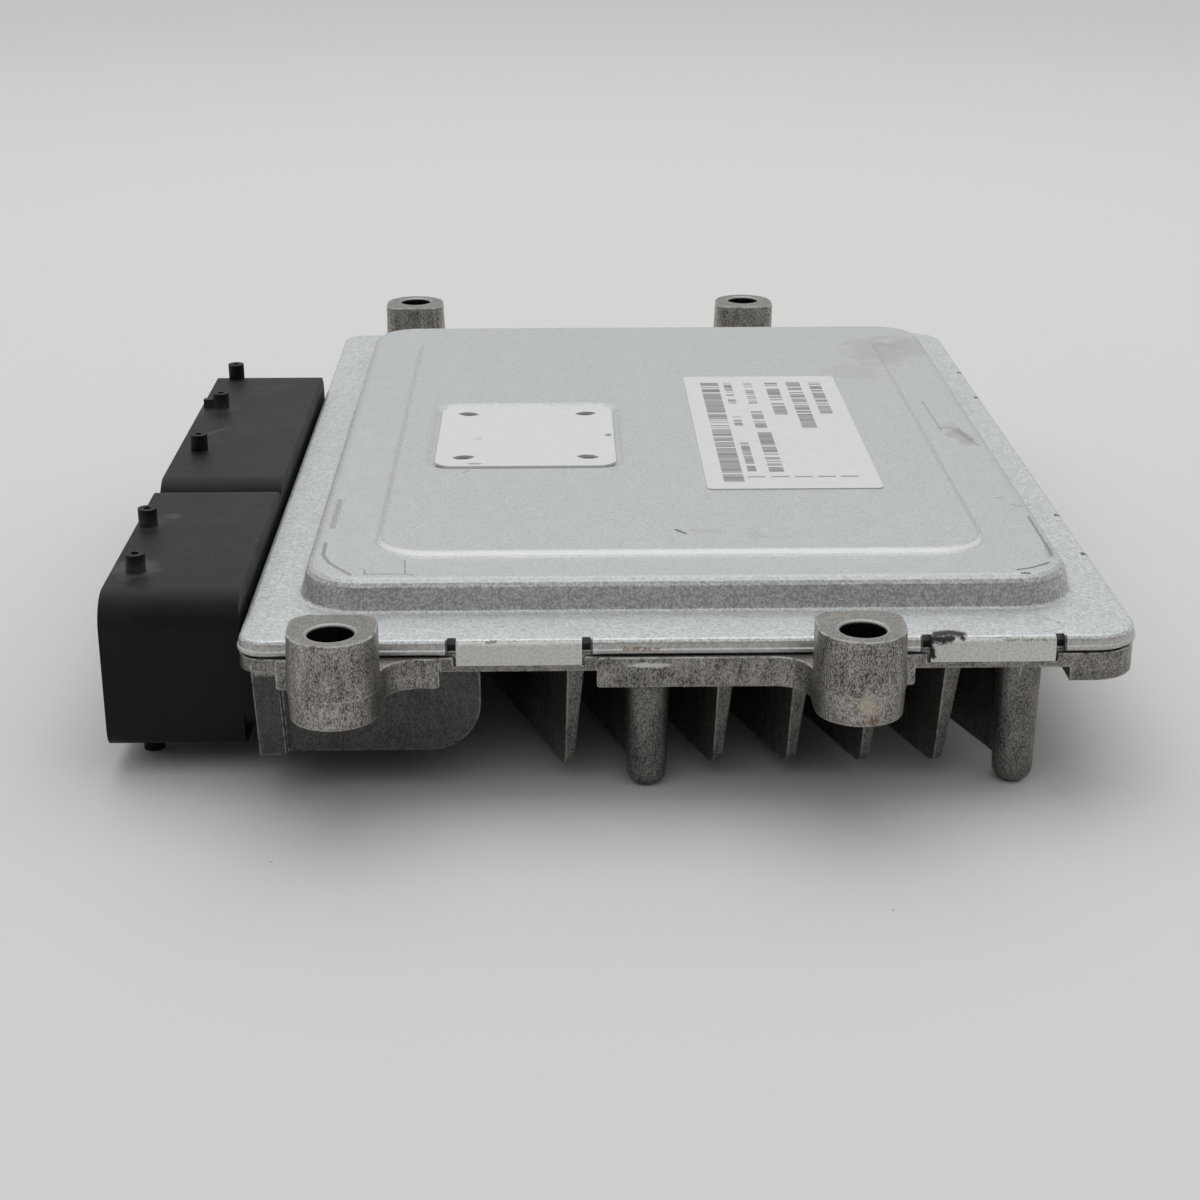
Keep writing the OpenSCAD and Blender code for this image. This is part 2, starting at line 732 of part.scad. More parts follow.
// Bars run from the bosses along the rim, and a block follows the right corner
module bars() {
    for (span = [[-bolt_x / 2 - bar_right_l, bar_left_l - bolt_x / 2],
        [bolt_x / 2 - bar_mid_l, bolt_x / 2 + bar_right_l]]) {
        along_y(bar_y, -case_end + bar_y_in)
            two_radius_rect(span[0], span[1], rim_z - bar_t, rim_z, bar_r, bar_r);
        along_y(bar_y, -case_end - fit)
            two_radius_rect(span[0], span[1], rim_z - bar_t, rim_z + bar_rise, bar_r, bar_r);
    }
    for (s = [0, 1]) mirror([s, 0, 0]) translate([boss_d / 2 - bolt_x / 2, bar_y, rim_z - bar_t])
        linear_extrude(bar_t + bar_rise) bar_fillet();
    intersection() {
        translate([0, 0, rim_z - bar_t]) linear_extrude(bar_t) case_plan(rim_inset);
        box([case_right - block_l, -case_end - over, rim_z - bar_t - over],
            [case_right + over, -case_end + block_in, rim_z + over]);
    }
}

// Fillet between the side of a boss and the face of a bar, in plan
module bar_fillet() {
    difference() {
        translate([-over, -bar_fillet_r]) square([bar_fillet_r + over, bar_fillet_r + bar_r]);
        translate([bar_fillet_r, -bar_fillet_r]) circle(bar_fillet_r, $fn = arc_n);
    }
}

module boss_bores() {
    for (s = [-1, 1]) translate([s * bolt_x / 2, -bolt_y / 2, 0]) {
        translate([0, 0, -over]) cylinder(d = bolt_d, h = boss_h + 2 * over, $fn = arc_n);
        translate([0, 0, boss_h - chamfer_h])
            cylinder(d1 = bolt_d, d2 = bolt_d + 2 * chamfer_d, h = chamfer_h, $fn = arc_n);
    }
}

// Pillars carry the board: short ones on the plate, long ones from the tray floor
module pillars() {
    for (p = board_screw_at) {
        low = p[0] < tray_x1 ? -tray_depth + tray_wall / 2 : plate_z - pillar_below;
        translate([p[0], p[1], low]) cylinder(d = pillar_d, h = board_z - low, $fn = arc_n);
    }
}

module screw_pilots() {
    for (p = board_screw_at) translate([p[0], p[1], board_top - screw_len - pilot_spare])
        cylinder(d = screw_d + 2 * fit, h = screw_len, $fn = arc_n);
    for (y = header_screw_ys, z = header_screw_zs) translate([tray_x0 - over, y, z])
        rotate([0, 90, 0])
        cylinder(d = header_screw_d + 2 * fit, h = collar_t + 2 * over, $fn = arc_n);
}

// Pockets in the rim that take the crimp tabs, over a ledge
module tab_pockets() {
    at_tabs() translate([-tab_w / 2 - wall_gap, -over, lid_z - tab_h - tab_spare])
        cube([tab_w + 2 * wall_gap, sheet_t + fit + over, tab_h]);
}

module lid_seal() color("dimgray") {
    translate([0, 0, floor_z]) linear_extrude(seal_h) difference() {
        case_plan(seal_inset);
        case_plan(seal_inset + seal_w);
    }
}

// Pad over the vent hole, with a lens-shaped slot near each corner
module vent_membrane() color("whitesmoke") {
    translate([vent_x, vent_y, panel_z - vent_sink]) difference() {
        linear_extrude(membrane_t)
            round_rect(vent_w - 2 * fit, vent_l - 2 * fit, vent_r - fit);
        for (sx = [-1, 1], sy = [-1, 1]) {
            translate([sx * (vent_w / 2 - slot_in_x), sy * (vent_l / 2 - slot_in_y), -over])
                rotate([0, 0, sx * sy * slot_turn])
                linear_extrude(membrane_t + 2 * over) slot_lens();
        }
    }
}

module slot_lens() {
    shift = sqrt(slot_bow_r * slot_bow_r - slot_w * slot_w / 4);
    intersection() {
        translate([0, shift]) circle(slot_bow_r, $fn = arc_n);
        translate([0, -shift]) circle(slot_bow_r, $fn = arc_n);
    }
}

module product_label() color("white") {
    translate([label_x, label_y, panel_z]) linear_extrude(label_t)
        round_rect(label_w, label_l, label_r);
}

// Header: two shrouds side by side on one body, with a neck and tongues into the base
module bay_rect(y0, y1, inset) {
    two_radius_rect(y0 + inset, y1 - inset, header_bottom + inset, header_top - inset,
        bay_r_top - inset, bay_r_bottom - inset);
}

module connector_header() color("#26262a") {
    difference() {
        union() {
            along_x(header_x0, header_x1) {
                bay_rect(header_y0, bay_split, 0);
                bay_rect(bay_split - bay_overlap, header_y1, 0);
                translate([bay_split - web_l / 2, header_bottom + web_sink])
                    square([web_l, header_h - 2 * web_sink]);
            }
            along_x(header_x1 - over, neck_x1)
                two_radius_rect(header_y0, header_y1, neck_bottom, neck_top, bay_r_bottom / 2,
                    bay_r_bottom);
            for (s = tongue_spans) along_x(header_x1, tongue_x1) tongue_rect(s[0], s[1], 0);
            for (p = peg_at) translate([header_x0 + p[0], p[1], header_top - over])
                cylinder(d = peg_d, h = peg_h + over, $fn = arc_n);
            for (y = foot_ys) translate([foot_x, y, -post_depth])
                cylinder(d = foot_d, h = header_bottom + post_depth + over, $fn = arc_n);
            box([header_x0 + peg_in - peg_lug_l, peg_lug_y - peg_lug_w / 2, header_top - over],
                [header_x0 + peg_in, peg_lug_y + peg_lug_w / 2, header_top + peg_lug_h]);
        }
        bay_pocket(header_y0, bay_split);
        bay_pocket(bay_split - bay_overlap, header_y1);
        for (p = peg_at) translate([header_x0 + p[0], p[1], header_top + peg_h - peg_dimple_h])
            cylinder(d = peg_dimple_d, h = peg_dimple_h + over, $fn = arc_n);
        along_x(neck_x1 - groove_d, neck_x1 + over) seal_ring(0);
        for (y = header_screw_ys, z = header_screw_zs)
            translate([collar_in - header_screw_len - pilot_spare, y, z]) rotate([0, 90, 0])
            cylinder(d = header_screw_d + fit, h = header_screw_len, $fn = arc_n);
        front_bay_signal_pins(fit / 4);
        front_bay_power_pins(fit / 4);
        rear_bay_signal_pins(fit / 4);
        rear_bay_power_pins(fit / 4);
    }
}

// The space of one bay, less the keys that let only its own plug in
module bay_pocket(y0, y1) {
    difference() {
        along_x(header_x0 - over, header_x0 + bay_depth) bay_rect(y0, y1, bay_wall);
        for (share = key_shares) {
            y = y0 + share * (y1 - y0);
            box([header_x0, y - key_w / 2, header_top - bay_wall - key_h],
                [header_x0 + bay_depth, y + key_w / 2, header_top]);
        }
    }
}

// Outline of the seal around both tongues, in the face of the neck
module seal_ring(gap) {
    y0 = tongue_spans[0][0] - groove_out;
    y1 = tongue_spans[1][1] + groove_out;
    l = y1 - y0;
    h = tongue_top - tongue_bottom + 2 * groove_out;
    translate([(y0 + y1) / 2, (tongue_top + tongue_bottom) / 2]) difference() {
        round_rect(l + 2 * groove_w - 2 * gap, h + 2 * groove_w - 2 * gap,
            tongue_r + groove_out + groove_w - gap);
        round_rect(l + 2 * gap, h + 2 * gap, tongue_r + groove_out + gap);
    }
}

module header_seal() color("darkslategray") {
    along_x(neck_x1 - groove_d, tray_x0) seal_ring(fit);
}

// Pan-head screw along -Z with its head seat at the origin
module pan_screw(head_d, head_h, l, d) {
    difference() {
        union() {
            cylinder(d = head_d, h = head_h, $fn = arc_n);
            translate([0, 0, -l]) cylinder(d = d, h = l + head_h / 2, $fn = arc_n);
        }
        translate([0, 0, head_h - screw_recess_h])
            cylinder(d = screw_recess_d, h = screw_recess_h + over, $fn = 6);
    }
}

module board_screws() color("silver") {
    for (p = board_screw_at) translate([p[0], p[1], board_top])
        pan_screw(screw_head_d, screw_head_h, screw_len, screw_d);
}

module header_screws() color("gray") {
    for (y = header_screw_ys, z = header_screw_zs) translate([collar_in, y, z])
        rotate([0, 90, 0])
        pan_screw(header_screw_head_d, header_screw_head_h, header_screw_len, header_screw_d);
}

// L-shaped strips: along the header, then up through the board
module bent_pin(y, z, turn_x, w, t, gap) {
    box([pin_tip_x, y - w / 2 - gap, z - t / 2 - gap],
        [turn_x + t / 2 + gap, y + w / 2 + gap, z + t / 2 + gap]);
    box([turn_x - t / 2 - gap, y - w / 2 - gap, z - t / 2 - gap],
        [turn_x + t / 2 + gap, y + w / 2 + gap, board_top + pin_above]);
}

module signal_pins(y0, n, gap) {
    for (i = [0:n - 1], k = [0:len(pin_row_zs) - 1])
        bent_pin(y0 + i * pin_pitch, pin_row_zs[k], pin_turn_xs[k], pin_s, pin_s, gap);
}

module power_pins(ys, gap) {
    for (y = ys, k = [0:len(blade_row_zs) - 1])
        bent_pin(y, blade_row_zs[k], blade_turn_xs[k], blade_w, blade_t, gap);
}

module front_bay_signal_pins(gap = 0) color("gold") {
    signal_pins(front_pin_y0, front_pin_n, gap);
}

module front_bay_power_pins(gap = 0) color("silver") {
    power_pins(front_blade_ys, gap);
}

module rear_bay_signal_pins(gap = 0) color("gold") {
    signal_pins(rear_pin_y0, rear_pin_n, gap);
}

module rear_bay_power_pins(gap = 0) color("silver") {
    power_pins(rear_blade_ys, gap);
}

// Square holes for the pins of one bay
module pin_slots(y0, n) {
    for (i = [0:n - 1], x = pin_turn_xs) translate([x, y0 + i * pin_pitch])
        square([pin_s + 2 * fit, pin_s + 2 * fit], center = true);
}

module circuit_board() color("darkgreen") {
    translate([0, 0, board_z]) linear_extrude(board_t) difference() {
        translate([(board_x0 + board_x1) / 2, 0])
            round_rect(board_x1 - board_x0, 2 * board_y, board_r);
        for (p = board_screw_at) translate(p) circle(d = screw_hole_d, $fn = arc_n);
        pin_slots(front_pin_y0, front_pin_n);
        pin_slots(rear_pin_y0, rear_pin_n);
        for (y = concat(front_blade_ys, rear_blade_ys), x = blade_turn_xs) translate([x, y])
            square([blade_t + 2 * fit, blade_w + 2 * fit], center = true);
    }
}

// Places children on the board at one spot, or at each spot of a list
module on_board(p) {
    translate([board_x0 + p[0] * board_w, p[1] * board_l, board_top]) children();
}
module on_board_each(list) {
    for (p = list) on_board(p) children();
}

// Moulded package with a row of leads along each long side, and along all four if square
module chip_package(size, n, four) {
    translate([-size[0] / 2, -size[1] / 2, 0]) cube([size[0], size[1], size[2]]);
    lead_row(size[0], size[1], n);
    if (four) rotate([0, 0, 90]) lead_row(size[1], size[0], n);
}

module lead_row(l, w, n) {
    pitch = l * lead_share / n;
    for (i = [0:n - 1]) translate([(i - (n - 1) / 2) * pitch - lead_w / 2, -w / 2 - lead_out, 0])
        cube([lead_w, w + 2 * lead_out, lead_t]);
}

module microcontroller() color("#202020") {
    on_board(mcu_shares) chip_package(mcu_size, mcu_leads, true);
}

module flash_memory() color("#202020") {
    on_board(flash_shares) chip_package(flash_size, small_leads, false);
}

module driver_chips() color("#202020") {
    on_board_each(driver_shares) chip_package(driver_size, driver_leads, false);
}

module ignition_transistors() color("#202020") {
    on_board_each(ignition_shares) {
        chip_package(ignition_size, 2, false);
        translate([-ignition_size[0] * lead_share / 2, ignition_size[1] / 2, 0])
            cube([ignition_size[0] * lead_share, ignition_tab, lead_t]);
    }
}

module voltage_regulator() color("#202020") {
    on_board(regulator_shares) chip_package(regulator_size, regulator_leads, false);
}

module bus_transceivers() color("#202020") {
    on_board_each(transceiver_shares) chip_package(transceiver_size, small_leads, false);
}

module pressure_sensor() color("gainsboro") {
    on_board(sensor_shares) difference() {
        chip_package(sensor_size, small_leads, false);
        translate([0, 0, sensor_size[2] / 2])
            cylinder(d = sensor_port_d, h = sensor_size[2], $fn = arc_n);
    }
}

module quartz_crystal() color("silver") {
    on_board(crystal_shares) linear_extrude(crystal_size[2])
        round_rect(crystal_size[0], crystal_size[1], crystal_size[2] / 2);
}

module ceramic_capacitors() color("tan") {
    at = concat([for (y = chip_row_shares, i = [0:chip_columns - 1])
        [chip_first_share + i * chip_pitch_share, y]],
        [for (i = [0:chip_side_n - 1])
            [chip_side_share, chip_side_first_share + i * chip_side_pitch_share]]);
    on_board_each(at) translate([-chip_size[0] / 2, -chip_size[1] / 2, 0]) cube(chip_size);
}

module shunt_resistors() color("#303030") {
    on_board_each(shunt_shares) translate([-shunt_size[0] / 2, -shunt_size[1] / 2, 0])
        cube(shunt_size);
}

module suppressor_diodes() color("#202020") {
    on_board_each(diode_shares) translate([-diode_size[0] / 2, -diode_size[1] / 2, 0])
        cube(diode_size);
}

// Pads carry heat from under the power parts to the base plate
module thermal_pads() color("lightpink") {
    for (p = thermal_shares) translate([board_x0 + p[0] * board_w, p[1] * board_l, floor_z])
        linear_extrude(board_gap) square(thermal_size, center = true);
}

// Tall parts hang from the board into the tray
module in_tray(share) {
    translate([tray_part_x, share * board_l, board_z]) mirror([0, 0, 1]) children();
}

module power_inductor() color("#2b2b2b") {
    in_tray(inductor_share) difference() {
        translate([-inductor_size[0] / 2, -inductor_size[1] / 2, 0]) cube(inductor_size);
        translate([0, 0, inductor_size[2] - inductor_gap]) difference() {
            cylinder(d = inductor_core_d, h = inductor_gap + over, $fn = arc_n);
            cylinder(d = inductor_core_d / 2, h = inductor_gap + over, $fn = arc_n);
        }
    }
}

module electrolytic_capacitors() color("silver") {
    for (share = capacitor_shares) in_tray(share) {
        translate([-capacitor_d / 2, -capacitor_d / 2, 0])
            cube([capacitor_d, capacitor_d, capacitor_base]);
        cylinder(d = capacitor_d, h = capacitor_base + capacitor_neck_h, $fn = arc_n);
        cylinder(d = capacitor_d - 4 * fit, h = capacitor_base + 3 * capacitor_neck_h, $fn = arc_n);
        translate([0, 0, capacitor_base + 2 * capacitor_neck_h])
            cylinder(d = capacitor_d, h = capacitor_h - 2 * capacitor_neck_h, $fn = arc_n);
    }
}

base_housing();
lid_cover();
lid_seal();
vent_membrane();
product_label();
connector_header();
header_seal();
header_screws();
front_bay_signal_pins();
front_bay_power_pins();
rear_bay_signal_pins();
rear_bay_power_pins();
circuit_board();
board_screws();
thermal_pads();
microcontroller();
flash_memory();
driver_chips();
ignition_transistors();
voltage_regulator();
bus_transceivers();
pressure_sensor();
quartz_crystal();
power_inductor();
electrolytic_capacitors();
suppressor_diodes();
ceramic_capacitors();
shunt_resistors();
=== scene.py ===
import math

import bpy
from mathutils import Euler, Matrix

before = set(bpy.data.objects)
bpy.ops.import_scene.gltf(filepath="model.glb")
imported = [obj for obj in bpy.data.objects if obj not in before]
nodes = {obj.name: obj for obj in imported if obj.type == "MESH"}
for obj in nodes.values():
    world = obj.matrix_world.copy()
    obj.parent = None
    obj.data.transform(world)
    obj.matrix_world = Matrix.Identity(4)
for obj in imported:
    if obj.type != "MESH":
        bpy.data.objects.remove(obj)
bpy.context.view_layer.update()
print("frame loaded with", len(nodes), "nodes")


# helpers for shader trees
def plug(tree, value, socket):  # links a socket, or writes a plain value
    if isinstance(value, bpy.types.NodeSocket):
        tree.links.new(value, socket)
    else:
        socket.default_value = value


def addNode(tree, kind, inputs=None, **settings):
    node = tree.nodes.new("ShaderNode" + kind)
    for name, value in settings.items():
        setattr(node, name, value)
    for key, value in (inputs or {}).items():
        plug(tree, value, node.inputs[key])
    return node


def calc(tree, operation, *values, clamp=False):
    inputs = dict(enumerate(values))
    return addNode(tree, "Math", inputs, operation=operation, use_clamp=clamp).outputs[0]


def vectorCalc(tree, operation, *values):
    node = addNode(tree, "VectorMath", dict(enumerate(values)), operation=operation)
    single = operation in ("LENGTH", "DISTANCE", "DOT_PRODUCT")
    return node.outputs["Value" if single else "Vector"]


def remap(tree, value, low, high, start=0.0, end=1.0):
    inputs = {"Value": value, "From Min": low, "From Max": high, "To Min": start, "To Max": end}
    return addNode(tree, "MapRange", inputs, interpolation_type="SMOOTHSTEP").outputs[0]


def blendColours(tree, factor, first, second):
    node = addNode(tree, "Mix", {0: factor}, data_type="RGBA")
    plug(tree, first, node.inputs[6])
    plug(tree, second, node.inputs[7])
    return node.outputs[2]


def noise(tree, place, scale, detail=3.0, roughness=0.5):
    inputs = {"Vector": place, "Scale": scale, "Detail": detail, "Roughness": roughness}
    return addNode(tree, "TexNoise", inputs).outputs["Fac"]


def millimetres(tree):  # place on the object in millimetres
    place = addNode(tree, "TexCoord").outputs["Object"]
    node = addNode(tree, "VectorMath", {0: place, 3: 1000.0}, operation="SCALE")
    return node.outputs[0]


def newGroup(name, inputs, outputs):
    tree = bpy.data.node_groups.new(name, "ShaderNodeTree")
    kinds = {"vector": "NodeSocketVector", "value": "NodeSocketFloat"}
    for direction, sockets in (("INPUT", inputs), ("OUTPUT", outputs)):
        for socketName, kind in sockets.items():
            tree.interface.new_socket(socketName, in_out=direction, socket_type=kinds[kind])
    source = tree.nodes.new("NodeGroupInput")
    target = tree.nodes.new("NodeGroupOutput")
    return tree, source.outputs, target.inputs


def useGroup(tree, group, **inputs):
    node = tree.nodes.new("ShaderNodeGroup")
    node.node_tree = group
    for name, value in inputs.items():
        plug(tree, value, node.inputs[name])
    return node.outputs


# effects that more than one finish uses
effectLook = {
    "fleckShape": (1.0, 1.0, 0.6),
    "fleckRange": (0.36, 0.64),
    "streakShape": (1.0, 1.0, 0.16),
    "streakScale": 1.1,
    "streakRange": (0.32, 0.70),
    "cloudScale": 0.2,
    "cloudRange": (0.30, 0.70),
    "grainShares": (0.60, 0.20, 0.20),  # flecks, streaks, clouds
    "wearTurn": (0.01, 0.14),
    "wearRough": (0.34, 0.56),
    "bevelSamples": 4,
    "markFade": (1.0, 0.4),
    "strokeFade": (1.0, 0.35),
    "inkLevel": (0.6, 0.4),  # least ink of a printed cell, and what chance adds to it
}


def buildCastGrain():  # mottled skin of die-cast metal: fine flecks, drawn out upright, over soft clouds
    tree, given, made = newGroup("castGrain", {"Place": "vector", "Size": "value"},
                                 {"Tone": "value", "Height": "value"})
    fineScale = calc(tree, "DIVIDE", 1.0, given["Size"])
    upright = vectorCalc(tree, "MULTIPLY", given["Place"], effectLook["fleckShape"])
    flecks = noise(tree, upright, fineScale, 3.0, 0.6)
    drawn = vectorCalc(tree, "MULTIPLY", given["Place"], effectLook["streakShape"])
    streaks = noise(tree, drawn, effectLook["streakScale"], 2.0, 0.6)
    clouds = noise(tree, given["Place"], effectLook["cloudScale"], 3.0, 0.55)
    fleckShare, streakShare, cloudShare = effectLook["grainShares"]
    tone = calc(tree, "MULTIPLY", remap(tree, flecks, *effectLook["fleckRange"]), fleckShare)
    tone = calc(tree, "MULTIPLY_ADD", remap(tree, streaks, *effectLook["streakRange"]), streakShare, tone)
    tone = calc(tree, "MULTIPLY_ADD", remap(tree, clouds, *effectLook["cloudRange"]), cloudShare, tone)
    plug(tree, tone, made["Tone"])
    plug(tree, flecks, made["Height"])
    return tree


def buildZincSpangle():  # tiny crystals of a zinc coat
    tree, given, made = newGroup("zincSpangle", {"Place": "vector", "Size": "value"}, {"Tone": "value"})
    scale = calc(tree, "DIVIDE", 1.0, given["Size"])
    cells = addNode(tree, "TexVoronoi", {"Vector": given["Place"], "Scale": scale})
    plug(tree, addNode(tree, "SeparateXYZ", {0: cells.outputs["Color"]}).outputs[0], made["Tone"])
    return tree


def buildEdgeWear():  # rubbed edges: where a rounded normal leaves the true one
    tree, given, made = newGroup("edgeWear", {"Radius": "value", "Rough": "value"},
                                 {"Mask": "value", "Normal": "vector"})
    bevel = addNode(tree, "Bevel", {"Radius": given["Radius"]}, samples=effectLook["bevelSamples"])
    rounded = bevel.outputs["Normal"]
    true = addNode(tree, "NewGeometry").outputs["Normal"]
    turn = calc(tree, "SUBTRACT", 1.0, vectorCalc(tree, "DOT_PRODUCT", rounded, true))
    worn = remap(tree, turn, *effectLook["wearTurn"])
    mask = calc(tree, "MULTIPLY", worn, remap(tree, given["Rough"], *effectLook["wearRough"]))
    plug(tree, mask, made["Mask"])
    plug(tree, rounded, made["Normal"])
    return tree


def buildFacing():  # how far a face looks up: 1 on a level face, 0 on an upright one
    tree, given, made = newGroup("facingUp", {"Low": "value", "High": "value"}, {"Mask": "value"})
    up = addNode(tree, "SeparateXYZ", {0: addNode(tree, "NewGeometry").outputs["Normal"]}).outputs["Z"]
    plug(tree, remap(tree, up, given["Low"], given["High"]), made["Mask"])
    return tree


def buildMark():  # one ragged mark: an ellipse at a place, turned about Z
    inputs = {"Place": "vector", "Centre": "vector", "Turn": "value", "Reach": "vector",
              "Ragged": "value", "Rough": "value"}
    tree, given, made = newGroup("mark", inputs, {"Mask": "value"})
    local = vectorCalc(tree, "SUBTRACT", given["Place"], given["Centre"])
    turned = addNode(tree, "VectorRotate", {"Vector": local, "Angle": given["Turn"]},
                     rotation_type="Z_AXIS").outputs[0]
    distance = vectorCalc(tree, "LENGTH", vectorCalc(tree, "DIVIDE", turned, given["Reach"]))
    rough = calc(tree, "SUBTRACT", given["Rough"], 0.5)
    edge = calc(tree, "MULTIPLY_ADD", rough, given["Ragged"], distance)
    plug(tree, remap(tree, edge, *effectLook["markFade"]), made["Mask"])
    return tree


def buildStroke():  # how far a place is from a line between two places, in widths of the line
    inputs = {"Place": "vector", "Start": "vector", "End": "vector", "Width": "value"}
    tree, given, made = newGroup("stroke", inputs, {"Distance": "value"})
    line = vectorCalc(tree, "SUBTRACT", given["End"], given["Start"])
    local = vectorCalc(tree, "SUBTRACT", given["Place"], given["Start"])
    share = calc(tree, "DIVIDE", vectorCalc(tree, "DOT_PRODUCT", local, line),
                 vectorCalc(tree, "DOT_PRODUCT", line, line), clamp=True)
    nearest = addNode(tree, "VectorMath", {0: line, 3: share}, operation="SCALE").outputs[0]
    distance = vectorCalc(tree, "DISTANCE", local, nearest)
    plug(tree, calc(tree, "DIVIDE", distance, given["Width"]), made["Distance"])
    return tree


def buildBlock():  # 1 inside a box between two corners
    tree, given, made = newGroup("block", {"Place": "vector", "Low": "vector", "High": "vector"},
                                 {"Mask": "value"})
    above = vectorCalc(tree, "SUBTRACT", given["Place"], given["Low"])
    below = vectorCalc(tree, "SUBTRACT", given["High"], given["Place"])
    parts = addNode(tree, "SeparateXYZ", {0: vectorCalc(tree, "MINIMUM", above, below)}).outputs
    inside = calc(tree, "MINIMUM", calc(tree, "MINIMUM", parts["X"], parts["Y"]), parts["Z"])
    plug(tree, calc(tree, "GREATER_THAN", inside, 0.0), made["Mask"])
    return tree


def buildPrintRun():  # a run of print: cells of a grid that take more or less ink at random
    inputs = {"Place": "vector", "Low": "vector", "High": "vector", "Cell": "vector", "Share": "value",
              "Seed": "value"}
    tree, given, made = newGroup("printRun", inputs, {"Mask": "value"})
    area = useGroup(tree, block, Place=given["Place"], Low=given["Low"], High=given["High"])["Mask"]
    cell = vectorCalc(tree, "FLOOR", vectorCalc(tree, "DIVIDE", given["Place"], given["Cell"]))
    pick = addNode(tree, "TexWhiteNoise", {"Vector": cell, "W": given["Seed"]},
                   noise_dimensions="4D").outputs["Value"]
    least, chance = effectLook["inkLevel"]
    level = calc(tree, "MULTIPLY_ADD", calc(tree, "DIVIDE", pick, given["Share"]), chance, least)
    inked = calc(tree, "MULTIPLY", calc(tree, "LESS_THAN", pick, given["Share"]), level)
    plug(tree, calc(tree, "MULTIPLY", area, inked), made["Mask"])
    return tree


castGrain = buildCastGrain()
zincSpangle = buildZincSpangle()
edgeWear = buildEdgeWear()
facingUp = buildFacing()
mark = buildMark()
stroke = buildStroke()
block = buildBlock()
printRun = buildPrintRun()
print("shared effects built")


def newFinish(name, **sockets):  # a material with its Principled shader and plain values
    material = bpy.data.materials.new(name)
    material.use_nodes = True
    tree = material.node_tree
    shader = tree.nodes["Principled BSDF"]
    for socket, value in sockets.items():
        shader.inputs[socket.replace("_", " ")].default_value = value
    return material, tree, shader


def bumpFrom(tree, height, strength, distance, normal=None):
    inputs = {"Height": height, "Strength": strength, "Distance": distance}
    if normal is not None:
        inputs["Normal"] = normal
    return addNode(tree, "Bump", inputs).outputs[0]


def dress(nodeName, material):
    slots = nodes[nodeName].data.materials
    slots.clear()
    slots.append(material)


def strongest(tree, masks):
    result = masks[0]
    for value in masks[1:]:
        result = calc(tree, "MAXIMUM", result, value)
    return result


def addMarks(tree, place, rough, marks, colour):  # centre, reach, turn, raggedness, strength, tint
    for centre, reach, turn, ragged, strength, tint in marks:
        mask = useGroup(tree, mark, Place=place, Centre=centre, Turn=math.radians(turn), Reach=reach,
                        Ragged=ragged, Rough=rough)["Mask"]
        colour = blendColours(tree, calc(tree, "MULTIPLY", mask, strength), colour, (*tint, 1.0))
    return colour


def addStrokes(tree, place, rough, families, flat, colour):  # raggedness, strength, tint, lines
    pressed = vectorCalc(tree, "MULTIPLY", place, flat)  # a low share lets a line reach through that axis
    for ragged, strength, tint, lines in families:
        nearest = 99.0
        for width, points in lines:
            pressedPoints = [tuple(a * b for a, b in zip(point, flat)) for point in points]
            for start, end in zip(pressedPoints, pressedPoints[1:]):
                line = useGroup(tree, stroke, Place=pressed, Start=start, End=end, Width=width)
                nearest = calc(tree, "MINIMUM", nearest, line["Distance"])
        edge = calc(tree, "MULTIPLY_ADD", calc(tree, "SUBTRACT", rough, 0.5), ragged, nearest)
        factor = calc(tree, "MULTIPLY", remap(tree, edge, *effectLook["strokeFade"]), strength)
        colour = blendColours(tree, factor, colour, (*tint, 1.0))
    return colour


